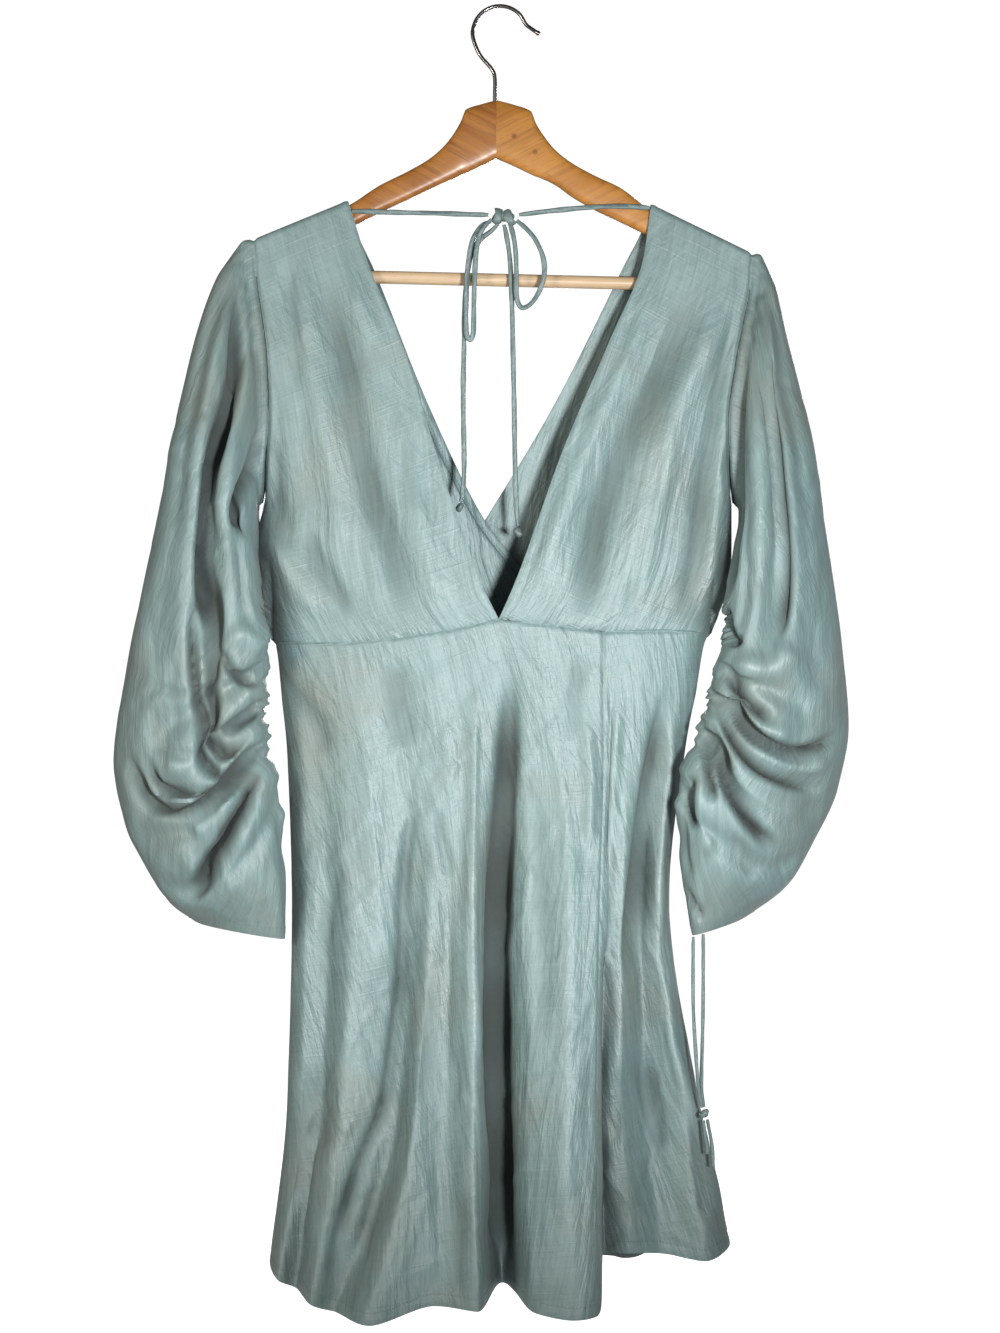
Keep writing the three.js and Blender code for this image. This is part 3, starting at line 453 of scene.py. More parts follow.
DEPTH = {
    Side.BACK: Curve(DEPTH_STOPS, (42, 40, 33, 24, 15, 9)),
    Side.FRONT: Curve(DEPTH_STOPS, (34, 32, 27, 20, 13, 9)),
}
EDGE_LEFT = Curve((-541, -502, -461, -422, -386, -345, -296, -232, -197),
                  (-192, -208, -209, -201, -206, -212, -216, -216, -214))
EDGE_RIGHT = Curve((-535, -500, -461, -422, -389, -350, -302, -242, -209),
                   (178, 192, 197, 197, 202, 210, 217, 221, 220))


def waist_height(side: Side, x: Array) -> Array:
    """Height of the waist seam: straight runs between its stops."""
    if side is Side.BACK:
        return np.interp(x, WAIST_STOPS, WAIST_BACK)
    return np.interp(x, WAIST_X, WAIST_Z)


def side_shape(x: Array, left: Array, right: Array) -> Array:
    """Fullness from 0 at either side to 1 in the middle, a rounded arch."""
    t = np.clip(np.abs((2 * x - left - right) / (right - left)), 0.0, 1.0)
    return (1 - t ** SIDE_POWER) ** (1 / SIDE_POWER)


def waist_depth(side: Side, x: Array) -> Array:
    """Distance of the waist seam from the middle plane."""
    return DEPTH[side](WAIST_Z[0]) * side_shape(x, *WAIST_X)


def bodice_depth(side: Side, x: Array, z: Array, drop: Array, left: Array | None = None,
                 right: Array | None = None) -> Array:
    """Distance of the bodice from the middle plane: the arch of the chest, turned in at the top.

    Args:
        side: Which side of the dress.
        x: Places across.
        z: Places up.
        drop: How far below the shoulder line each place is.
        left: Where the arch starts, or the usual edge.
        right: Where it ends, or the usual edge.

    Returns:
        The distance in millimetres.
    """
    shoulder = SHOULDER_HALF * smooth(UNDERARM_Z, UNDERARM_Z + SHOULDER_RISE, z)
    chest = DEPTH[side](z) - shoulder
    shape = side_shape(x, EDGE_LEFT(z) if left is None else left,
                       EDGE_RIGHT(z) if right is None else right)
    t = np.clip(1 - drop / SHOULDER_DROP, 0.0, 1.0)
    return (shoulder + chest * shape) * (1 - t ** SHOULDER_POWER) ** (1 / SHOULDER_POWER)


# Cloth
@dataclass
class ClothPanel:
    """A panel of cloth: a thin closed wall on a grid of two parameters.

    held says for an edge up to which distance folds don't move the cloth and from which they do
    so freely. grooves has rows of edge, depth, width and distance from the edge.
    """

    held: ClassVar[dict[str, tuple[float, float]]] = {}
    grooves: ClassVar[Sequence[tuple[str, float, float, float]]] = ()

    name: str
    across: int
    down: int
    cut: tuple[float, float]
    area: float
    rests_on: tuple[str, ...]
    folds: Sequence[Fold] = ()
    crumples: Sequence[Crumple] = ()
    wall: float = 0.8
    full_depth: float = 15.0
    ring: bool = False
    outer: Array = field(init=False, default=None)
    normals: Array = field(init=False, default=None)

    def place(self, u: Array, v: Array) -> Array:
        """The smooth form at the parameters, in millimetres."""
        raise NotImplementedError

    def lines(self) -> tuple[Array, Array]:
        """The parameters of the grid's lines."""
        return np.linspace(0, 1, self.across), np.linspace(0, 1, self.down)

    def outward(self, points: Array) -> Array:
        """A rough direction out of the dress at each point."""
        raise NotImplementedError

    def small_relief(self, gaps: dict[str, Array]) -> Array:
        """Grooves along seams and edges: each a small channel, a bell pushed in."""
        return sum(-depth * bell((gaps[edge] - middle) / width)
                   for edge, depth, width, middle in self.grooves)

    def calm(self, gaps: dict[str, Array]) -> Array:
        """How freely folds may move the cloth: 0 at sewn edges, 1 away from them."""
        return math.prod(smooth(*reach, gaps[edge]) for edge, reach in self.held.items())

    def seen_relief(self, points: Array, u: Array, v: Array) -> Array:
        """Folds and creases at each point, as the viewer sees them.

        Args:
            points: The smooth form.
            u: Parameters across the cloth.
            v: Parameters down the cloth.

        Returns:
            The height in millimetres.
        """
        x, z = seen(points)
        total = np.zeros_like(x)
        for row in (*self.folds, *self.crumples):
            total += row.relief(x, z)
        return total

    def build(self) -> bpy.types.Object:
        """Makes the wall: form, then relief along its normals, then the inner face.

        Returns:
            The panel as a closed mesh, with its place on the flat cloth as its UV map.
        """
        us, vs = self.lines()
        u, v = np.meshgrid(us, vs, indexing="ij")
        form = self.place(u, v)
        normals = grid_normals(form, self.ring)
        flip = np.sum(normals * self.outward(form)) < 0
        normals = -normals if flip else normals
        along_u = run_length(form, 0)
        along_v = run_length(form, 1)
        gaps = {"u0": along_u, "u1": along_u[-1] - along_u, "v0": along_v,
                "v1": along_v[:, -1:] - along_v}
        waves = self.seen_relief(form, u, v) * self.calm(gaps)
        rise = waves + self.small_relief(gaps)
        # How deep each corner lies in a fold, kept for the material, which paints shade into troughs
        # and highlight onto ridges from it
        troughs = np.clip(-waves / self.full_depth, -1, 1).ravel()
        self.outer = form + normals * rise[..., None]
        self.normals = grid_normals(self.outer, self.ring) * (-1 if flip else 1)
        inner = self.outer - self.normals * self.wall
        points = np.concatenate([self.outer.reshape(-1, 3), inner.reshape(-1, 3)])
        middle = along_u[along_u.shape[0] // 2][None]
        flat = np.stack([along_u - middle, along_v], -1).reshape(-1, 2) * MM
        quads = shell_quads(self.across, self.down, self.ring)
        if flip:
            quads = quads[:, ::-1]
        piece = make_mesh(self.name, points, quads, np.concatenate([flat, flat]),
                          troughs=np.concatenate([troughs, troughs]))
        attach(piece, "root")
        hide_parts(self.name)
        log.info("%s: %d faces", self.name, len(quads))
        return piece

    def line(self, edge: str, inset: float) -> tuple[Array, Array]:
        """A line on the panel at a distance from one of its edges.

        Args:
            edge: u0, u1, v0 or v1.
            inset: The distance in millimetres.

        Returns:
            Points and unit normals along the line.
        """
        axis = 0 if edge[0] == "u" else 1
        grid = self.outer if edge[1] == "0" else np.flip(self.outer, axis)
        facing = self.normals if edge[1] == "0" else np.flip(self.normals, axis)
        reach = run_length(grid, axis)
        if axis == 0:
            grid, facing, reach = (np.swapaxes(a, 0, 1) for a in (grid, facing, reach))
        after = np.argmax(reach >= inset, axis=1)
        rows = np.arange(len(grid))
        before = reach[rows, after - 1]
        share = ((inset - before) / (reach[rows, after] - before))[:, None]
        points = mix(grid[rows, after - 1], grid[rows, after], share)
        return points, unit(mix(facing[rows, after - 1], facing[rows, after], share))


# Where the bodice starts to turn to the waist seam, and between which x the inner front tucks in
WAIST_TURN = 0.8
TUCK_X = (-135.0, -95.0)
# How free folds are right at the neckline, and how far from it they are wholly free
NECK_FREE = 0.35
NECK_REACH = 16.0
# The turned strip on the neckline of the inner front
STRIP_WIDTH = 9.0
STRIP_RISE = 1.8
STRIP_EDGE = 1.2
STRIP_STITCHING = 6.0
# The stitched channels of hem and cuffs, up from the edge
HEM_CHANNEL = 10.0
CUFF_CHANNEL = 9.0


@dataclass
class BodiceHalf(ClothPanel):
    """Half of the bodice on one side, from the armhole and side seam to the neckline."""

    held: ClassVar[dict[str, tuple[float, float]]] = {"u0": (0, 14), "v0": (4, 30), "v1": (0, 10)}
    # Armhole and side seam, waist seam, neckline and the roll of its edge, which stands out
    grooves: ClassVar[Sequence[tuple[str, float, float, float]]] = (
        ("u0", 1.3, 2.2, 0.0), ("v1", 1.2, 2.0, 0.0), ("u1", 0.7, 1.4, 0.0), ("u1", -0.35, 2.5, 3.5),
    )

    side: Side = Side.BACK
    edge: Table = OUTER_LEFT
    neck: Table = BACK_NECK_LEFT
    tucked: bool = False

    def lines(self) -> tuple[Array, Array]:
        """Lines are closer together at the shoulder, where the cloth turns over."""
        return np.linspace(0, 1, self.across), np.linspace(0, 1, self.down) ** 1.5

    def place(self, u: Array, v: Array) -> Array:
        """A blend from the outer edge to the neckline, stood off by the chest's depth.

        Args:
            u: Parameters across the cloth.
            v: Parameters down the cloth.

        Returns:
            Points with x, y, z last, in millimetres.
        """
        f = 1 - np.cos(u * np.pi / 2)
        x = mix(self.edge.x(v), self.neck.x(v), f)
        ends = mix(self.edge.z(1.0), self.neck.z(1.0), f)
        z = mix(self.edge.z(v), self.neck.z(v), f)
        z = z + (waist_height(self.side, x) - ends) * smooth(WAIST_TURN, 1, v)
        top = mix(self.edge.z(0.0), self.neck.z(0.0), f)
        sewn = smooth(UNDERARM - 0.01, UNDERARM, v)
        left, right = EDGE_LEFT(z), EDGE_RIGHT(z)
        if self.edge is OUTER_LEFT:
            left = mix(left, self.edge.x(v), sewn)
        else:
            right = mix(right, self.edge.x(v), sewn)
        upper = bodice_depth(self.side, x, z, top - z, left, right)
        depth = mix(upper, waist_depth(self.side, x), smooth(WAIST_TURN, 1, v))
        if self.tucked:
            depth = depth - LAYER_STEP * smooth(*TUCK_X, x) * smooth(0, 0.1, v)
        return np.stack([x, self.side.value * np.maximum(depth, 0), z], -1)

    def outward(self, points: Array) -> Array:
        """Away from the middle plane."""
        return np.stack([points[..., 0] * 0.02, np.full(points.shape[:-1], float(self.side.value)),
                         np.full(points.shape[:-1], 0.2)], -1)

    def calm(self, gaps: dict[str, Array]) -> Array:
        """Free inside, held at the seams, nearly free at the neckline."""
        return super().calm(gaps) * mix(NECK_FREE, 1.0, smooth(0, NECK_REACH, gaps["u1"]))

    def small_relief(self, gaps: dict[str, Array]) -> Array:
        """The grooves, and the step of the turned strip where the half is tucked in."""
        step = STRIP_RISE * smooth(STRIP_WIDTH, STRIP_WIDTH - STRIP_EDGE, gaps["u1"])
        return super().small_relief(gaps) - step * self.tucked


LEVELS = (0, 0.18, 0.43, 0.74, 1)
# Each rib of the skirt: x at the waist and four heights below, y at those four, the hem's height
RIBS = [
    ((-192, -181, -177, -181, -196), (0, 0, 0, 0), -1066),
    ((-184, -168, -163, -166, -185), (-20, -28, -34, -42), -1073),
    ((-166, -150, -146, -152, -172), (-26, -30, -32, -34), -1080),
    ((-138, -126, -122, -132, -156), (-36, -50, -62, -70), -1087),
    ((-92, -77, -78, -90, -139), (-39, -42, -46, -60), -1094),
    ((-62, -52, -58, -72, -106), (-42, -56, -78, -100), -1097),
    ((-42, -36, -40, -46, -54), (-41, -50, -66, -82), -1085),
    ((-22, -17, -21, -23, -18), (-42, -60, -84, -98), -1086),
    ((-1, 6, -2, -3, 2), (-38, -34, -34, -30), -1077),
    ((32, 29, 24, 24, 28), (-42, -56, -78, -98), -1087),
    ((60, 58, 56, 54, 60), (-42, -62, -92, -112), -1090),
    ((86, 87, 83, 80, 82), (-40, -58, -82, -98), -1088),
    ((98, 93, 88, 85, 87), (-36, -44, -46, -42), -1050),
    ((114, 106, 102, 100, 108), (-36, -46, -52, -52), -1048),
    ((142, 136, 119, 123, 138), (-26, -22, -22, -34), -1052),
    ((164, 149, 132, 152, 172), (-18, -26, -34, -40), -1057),
    ((178, 158, 144, 167, 196), (0, 0, 0, 0), -1050),
    ((150, 134, 122, 140, 162), (26, 38, 48, 58), -1062),
    ((108, 98, 90, 98, 112), (27, 24, 24, 30), -1066),
    ((62, 56, 52, 54, 64), (32, 42, 58, 76), -1074),
    ((14, 12, 10, 8, 8), (30, 26, 26, 30), -1070),
    ((-38, -34, -34, -38, -44), (32, 44, 62, 80), -1076),
    ((-86, -80, -78, -84, -96), (28, 26, 28, 34), -1070),
    ((-142, -128, -122, -132, -152), (26, 36, 46, 58), -1068),
]
SEAM_RIB = 11
SIDE_RIB = 16


@dataclass
class SkirtPanel(ClothPanel):
    """A gore of the skirt between two of its ribs, from the waist seam to the hem."""

    held: ClassVar[dict[str, tuple[float, float]]] = {"v0": (2, 26), "u0": (0, 12), "u1": (0, 12)}
    # Waist seam, the two side seams, the hem's stitched channel and its edge
    grooves: ClassVar[Sequence[tuple[str, float, float, float]]] = (
        ("v0", 1.2, 2.0, 0.0), ("u0", 1.1, 1.8, 0.0), ("u1", 1.1, 1.8, 0.0),
        ("v1", 0.5, 1.2, HEM_CHANNEL), ("v1", 0.6, 1.2, 0.0),
    )

    first: int = 0
    last: int = SEAM_RIB

    def place(self, u: Array, v: Array) -> Array:
        """Cubics down each rib, then a cubic across the ribs, snapped to the waist at the top.

        Args:
            u: Parameters across the cloth.
            v: Parameters down the cloth.

        Returns:
            Points with x, y, z last, in millimetres.
        """
        s = mix(float(self.first), float(self.last), u[:, 0])
        down = v[0]
        base = np.floor(s).astype(int)
        t = (s - base)[:, None]
        ribs = [self.rib(number, down) for number in range(len(RIBS))]
        axes = []
        for k in range(3):
            values = np.stack([rib[k] for rib in ribs])
            p = [values[(base + shift) % len(RIBS)] for shift in (-1, 0, 1, 2)]
            steps = [p[1] - p[0], p[2] - p[1], p[3] - p[2]]
            axes.append(hermite(p[1], p[2], harmonic(steps[0], steps[1]),
                                harmonic(steps[1], steps[2]), t))
        x, y, z = axes
        side = Side.BACK if self.last <= SIDE_RIB else Side.FRONT
        exact = smooth(0.1, 0, v)
        top = x[:, :1]
        y = mix(y, side.value * waist_depth(side, top), exact)
        z = mix(z, waist_height(side, top), exact)
        return np.stack([x, y, z], -1)

    @staticmethod
    def rib(number: int, v: Array) -> tuple[Array, Array, Array]:
        """x, y and z down one rib.

        Args:
            number: Its row in the table.
            v: Parameters down the cloth.

        Returns:
            The three coordinates, in millimetres.
        """
        xs, ys, hem = RIBS[number]
        side = Side.BACK if number <= SIDE_RIB else Side.FRONT
        start = float(side.value * waist_depth(side, np.float64(xs[0])))
        top = float(waist_height(side, np.float64(xs[0])))
        return Curve(LEVELS, xs)(v), Curve(LEVELS, (start, *ys))(v), mix(top, hem, v)

    def outward(self, points: Array) -> Array:
        """Away from the middle plane."""
        sign = -1.0 if self.last <= SIDE_RIB else 1.0
        return np.stack([points[..., 0] * 0.004, np.full(points.shape[:-1], sign),
                         np.zeros(points.shape[:-1])], -1)


SLEEVE_COLUMNS = "outer_x outer_z inner_x inner_z near far forward"
SLEEVE_LEFT = Table(SLEEVE_COLUMNS, [
    (0, -209, -197, -201, -422, 22, 20, 0),
    (0.05, -222, -203, -203, -440, 32, 26, 9),
    (0.12, -238, -225, -204, -462, 38, 30, 18),
    (0.22, -255, -270, -201, -486, 43, 34, 26),
    (0.34, -270, -332, -198, -512, 47, 37, 30),
    (0.46, -284, -407, -193, -538, 51, 40, 32),
    (0.58, -301, -490, -194, -566, 55, 43, 32),
    (0.7, -318, -573, -195, -600, 58, 45, 32),
    (0.78, -327, -640, -192, -632, 58, 45, 31),
    (0.85, -318, -690, -184, -665, 53, 42, 30),
    (0.91, -300, -728, -181, -700, 45, 36, 28),
    (0.96, -279, -760, -180, -742, 35, 28, 26),
    (1, -256, -777, -180, -788, 22, 19, 24),
])
SLEEVE_RIGHT = Table(SLEEVE_COLUMNS, [
    (0, 214, -209, 197, -422, 22, 20, 0),
    (0.05, 224, -214, 200, -440, 32, 26, 10),
    (0.12, 233, -235, 194, -462, 38, 30, 20),
    (0.22, 243, -280, 190, -486, 43, 34, 29),
    (0.34, 256, -332, 187, -512, 47, 36, 34),
    (0.46, 268, -395, 185, -540, 51, 38, 38),
    (0.58, 279, -470, 177, -566, 55, 40, 41),
    (0.7, 290, -548, 171, -593, 58, 42, 43),
    (0.78, 295, -610, 160, -624, 58, 42, 44),
    (0.85, 286, -662, 148, -657, 53, 40, 44),
    (0.91, 268, -703, 147, -690, 45, 35, 42),
    (0.96, 245, -743, 152, -734, 35, 27, 38),
    (1, 208, -772, 160, -784, 22, 18, 34),
])
# Long folds of a sleeve: angle at top and bottom, from, to, width, depth
LONG_FOLDS = (
    (0.55, 0.95, 0.02, 0.5, 0.2, -4), (1.25, 1.7, 0.03, 0.62, 0.22, -9),
    (0.95, 1.3, 0.05, 0.6, 0.2, 5), (1.75, 2.3, 0.03, 0.5, 0.2, -5),
    (5.5, 5.2, 0.03, 0.6, 0.24, -5), (4.7, 4.3, 0.03, 0.55, 0.24, -7),
)
# Swags from the ruched seam: where they start, where they end, reach, width, depth
SWAGS = (
    (0.5, 0.74, 0.9, 0.022, -6), (0.62, 0.83, 0.6, 0.02, -8),
    (0.74, 0.87, 0.4, 0.02, -7), (0.86, 0.93, 0.5, 0.018, -6),
)


@dataclass
class Sleeve(ClothPanel):
    """A balloon sleeve: a tube of cloth from the armhole to the cuff, ruched along its inside."""

    held: ClassVar[dict[str, tuple[float, float]]] = {"v0": (2, 30), "v1": (4, 20)}
    # Armhole, the cuff's edge and its channel
    grooves: ClassVar[Sequence[tuple[str, float, float, float]]] = (
        ("v0", 1.4, 2.2, 0.0), ("v1", 0.6, 1.2, 0.0), ("v1", 0.7, 1.3, CUFF_CHANNEL),
    )

    edge: Table = OUTER_LEFT
    rows: Table = SLEEVE_LEFT
    gathers: int = 26
    gather_depth: float = 1.5
    ruches: int = 36
    ruche_depth: float = 1.5
    droop: float = 26.0
    far_share: float = 0.6
    ring: bool = True

    def lines(self) -> tuple[Array, Array]:
        """Places round the ring from 0 to 2, and down the sleeve, closer at the armhole."""
        return np.arange(self.across) * 2.0 / self.across, np.linspace(0, 1, self.down) ** 1.12

    def angle(self, u: Array, w: Array) -> Array:
        """Angle round the sleeve: 0 at the outer edge, pi at the ruched seam.

        At the armhole it follows the bodice's rows, which lie closer at the shoulder.

        Args:
            u: Places round the ring, 0 to 2.
            w: Places down the sleeve.

        Returns:
            The angles in radians.
        """
        part = np.where(u <= 1, u, 2 - u)
        start = np.where(u <= 1, part ** 1.5, 2 - part ** 1.5) * np.pi
        return mix(start, u * np.pi, smooth(0, 0.16, w))

    def form_folds(self, theta: Array, w: Array) -> Array:
        """Long folds, swags, ruches and head gathers of the solid's form, as heights.

        Folds and swags are bells of the distance from their run. Ruches are a fine and a broad
        cosine down the seam and gathers a folded cosine round the head, both bent by slow sines
        so that no two are alike.

        Args:
            theta: Angles round the sleeve.
            w: Places down it.

        Returns:
            The height in millimetres.
        """
        total = np.zeros_like(theta)
        for top, bottom, start, end, width, depth in LONG_FOLDS:
            middle = mix(top, bottom, np.clip((w - start) / (end - start), 0, 1))
            run = smooth(start, start + 0.08, w) * smooth(end + 0.1, end - 0.1, w)
            total += depth * run * bell((theta - middle) / width)
        from_seam = np.abs(theta - np.pi)
        for inner, outer, reach, width, depth in SWAGS:
            part = np.clip(from_seam / (np.pi - reach), 0, 1)
            middle = mix(inner, outer, part ** 0.7)
            run = smooth(0, 0.25, from_seam) * smooth(1, 0.8, from_seam / (np.pi - reach))
            total += depth * run * bell((w - middle) / width)
        fine = np.cos(2 * np.pi * self.ruches * w + 1.4 * np.sin(17 * w) + 2.2 * theta)
        broad = np.cos(2 * np.pi * 0.31 * self.ruches * w + 2.6 * np.sin(7 * w) + 0.8)
        clusters = 0.35 + 0.65 * smooth(-0.3, 0.5, np.sin(19 * w + 0.6))
        wave = fine * clusters * bell(from_seam / 0.36) + 1.25 * broad * bell(from_seam / 0.62)
        total += self.ruche_depth * wave * smooth(0.1, 0.25, w) * smooth(1.0, 0.9, w)
        top = np.maximum(0, np.cos(theta * 0.5)) ** 2
        pleat = np.abs(np.cos(theta * self.gathers / 2 + 0.8 * np.sin(theta * 5)))
        return total + self.gather_depth * (2 * pleat - 1) * bell((w - 0.045) / 0.04) * top

    def armhole(self, theta: Array) -> Array:
        """Points of the bodice's armhole at each angle.

        Args:
            theta: Angles round the sleeve.

        Returns:
            Points with x, y, z last, in millimetres.
        """
        back = theta <= np.pi
        v = UNDERARM * np.where(back, theta, 2 * np.pi - theta) / np.pi
        x = self.edge.x(v)
        z = self.edge.z(v)
        drop = self.edge.z(0.0) - z
        y = np.where(back, -bodice_depth(Side.BACK, x, z, drop),
                     bodice_depth(Side.FRONT, x, z, drop))
        return np.stack([x, y, z], -1)

    def place(self, u: Array, v: Array) -> Array:
        """Sections between the outer and the inner edge, blended from the armhole's ring.

        A section is a rounded oval. It leans forward to its inner side and sags lower down.

        Args:
            u: Parameters across the cloth.
            v: Parameters down the cloth.

        Returns:
            Points with x, y, z last, in millimetres.
        """
        theta = np.mod(self.angle(u, v), 2 * np.pi)
        rows = self.rows
        c = (1 + np.cos(theta)) / 2
        reach = np.where(theta <= np.pi, -rows.near(v), rows.far(v))
        out = self.form_folds(theta, v)
        lift = np.abs(np.sin(theta)) ** 0.85 * (np.abs(reach) + out)
        dx = rows.outer_x(v) - rows.inner_x(v)
        dz = rows.outer_z(v) - rows.inner_z(v)
        push = out * np.cos(theta) / np.hypot(dx, dz)
        droop = self.droop * smooth(0.45, 0.8, v) * smooth(1, 0.9, v) * np.sin(theta) ** 2
        section = np.stack([
            rows.inner_x(v) + dx * (c + push),
            np.sign(reach) * lift - rows.forward(v) * (1 - c) - 6 * smooth(0, 0.4, v),
            rows.inner_z(v) + dz * (c + push) - droop,
        ], -1)
        blend = smooth(0, 0.13, v)
        ring = self.armhole(theta)
        grow = smooth(0, 0.05, v) * (rows.outer_x(v) - rows.outer_x(0.0)) * 0.9
        ring[..., 0] += grow * (1 - blend)
        return mix(ring, section, blend[..., None])

    def outward(self, points: Array) -> Array:
        """Away from the sleeve's own middle line."""
        return points - points.mean(axis=0, keepdims=True)

    def seen_relief(self, points: Array, u: Array, v: Array) -> Array:
        """Folds of the side that faces the viewer, and lower ones on the far side.

        Args:
            points: The smooth form.
            u: Parameters across the cloth.
            v: Parameters down the cloth.

        Returns:
            The height in millimetres.
        """
        theta = self.angle(u, v)
        facing = smooth(-0.1, 0.35, np.sin(theta))
        behind = smooth(0.1, -0.35, np.sin(theta))
        near = super().seen_relief(points, u, v)
        return near * facing + near * behind * self.far_share


# Cords
def full_ring(sides: int, power: float, start: float = 0.0) -> tuple[Array, Array]:
    """A ring between an ellipse, at power 2, and a box: sine and cosine to the 2 / power.

    Args:
        sides: Corners of the ring.
        power: How full it is.
        start: Where the first corner lies, in steps.

    Returns:
        The share of the width and of the height at each corner.
    """
    a = 2 * np.pi * (np.arange(sides) + start) / sides
    c, s = np.cos(a), np.sin(a)
    return np.sign(c) * np.abs(c) ** (2 / power), np.sign(s) * np.abs(s) ** (2 / power)


def tube_points(line: Array, half_wide: Array, half_thick: Array, sides: int,
                twist: Array, power: float = 2.0) -> Array:
    """Rings of a flattened tube along a line, its wide way across the viewer's sight.

    Args:
        line: Middle of each ring.
        half_wide: Half of the width at each ring.
        half_thick: Half of the thickness at each ring.
        sides: Corners of a ring.
        twist: Turn of each ring about the line, in radians.
        power: 2 for an ellipse, more for a fuller section.

    Returns:
        Points by ring and side.
    """
    tangent = unit(np.gradient(line, axis=0))
    across = unit(np.cross(tangent, np.array([0.0, 1.0, 0.0])))
    facing = np.cross(tangent, across)
    turn = twist[:, None]
    wide = across * np.cos(turn) + facing * np.sin(turn)
    thick = np.cross(tangent, wide)
    c, s = full_ring(sides, power)
    return (line[:, None] + wide[:, None] * (half_wide[:, None] * c)[..., None]
            + thick[:, None] * (half_thick[:, None] * s)[..., None])


def tube_quads(rings: int, sides: int, closed: bool = False) -> Array:
    """Faces of a tube of rings, with fans of quads over its ends unless it is closed on itself.

    Args:
        rings: Rings of the tube.
        sides: Corners of a ring.
        closed: Whether the last ring joins the first.

    Returns:
        Corner numbers, four to a row.
    """
    i, j = np.meshgrid(np.arange(rings if closed else rings - 1), np.arange(sides), indexing="ij")
    k, m = (i + 1) % rings, (j + 1) % sides
    wall = np.stack([i * sides + j, i * sides + m, k * sides + m, k * sides + j], -1).reshape(-1, 4)
    if closed:
        return wall
    n = np.arange(1, sides // 2)
    cap = np.stack([n - 1, n, sides - n - 1, (sides - n) % sides], -1)
    return np.concatenate([wall, cap[:, ::-1], cap + (rings - 1) * sides])


@dataclass
class Rouleau:
    """A narrow turned strip of cloth, pressed flat, that hangs along a route."""

    name: str
    route: Route
    half_wide: float = 2.15
    half_thick: float = 1.35
    sides: int = 16
    steps: int = 8
    power: float = 2.5
    wander: float = 0.35
    seed: int = 1
    pinch: tuple[float, float] = (0.75, 0.75)
    path: Array = field(init=False, default=None)

    def build(self) -> bpy.types.Object:
        """Makes the strip: a flattened tube whose width and turn wander a little.

        Returns:
            The strip, with its run and its way round as its UV map.
        """
        line = catmull(self.route, self.steps)
        reach = run_length(line, 0)
        dice = np.random.default_rng(self.seed)
        phases = dice.uniform(0, 2 * np.pi, 4)
        swing = np.sin(reach / 17 + phases[0]) + 0.6 * np.sin(reach / 7.3 + phases[1])
        breath = 1 + 0.07 * np.sin(reach / 9 + phases[2]) + 0.05 * np.sin(reach / 3.7 + phases[3])
        share = reach / reach[-1]
        ends = mix(self.pinch[0], 1, smooth(0, 0.05, share))
        ends = ends * mix(self.pinch[1], 1, smooth(1, 0.95, share))
        rings = tube_points(line, self.half_wide * breath * ends, self.half_thick / breath,
                            self.sides, self.wander * swing, self.power)
        around = np.linspace(0, 2 * np.pi * self.half_wide, self.sides)
        uvs = np.stack(np.meshgrid(reach, around, indexing="ij"), -1).reshape(-1, 2) * MM
        piece = make_mesh(self.name, rings.reshape(-1, 3), tube_quads(len(line), self.sides), uvs)
        self.path = line * MM
        return piece

    def declare(self, piece: bpy.types.Object) -> None:
        """Parents the strip to the root and hides the part's solid of the same name.

        Args:
            piece: The strip's object.
        """
        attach(piece, "root")
        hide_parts(self.name)


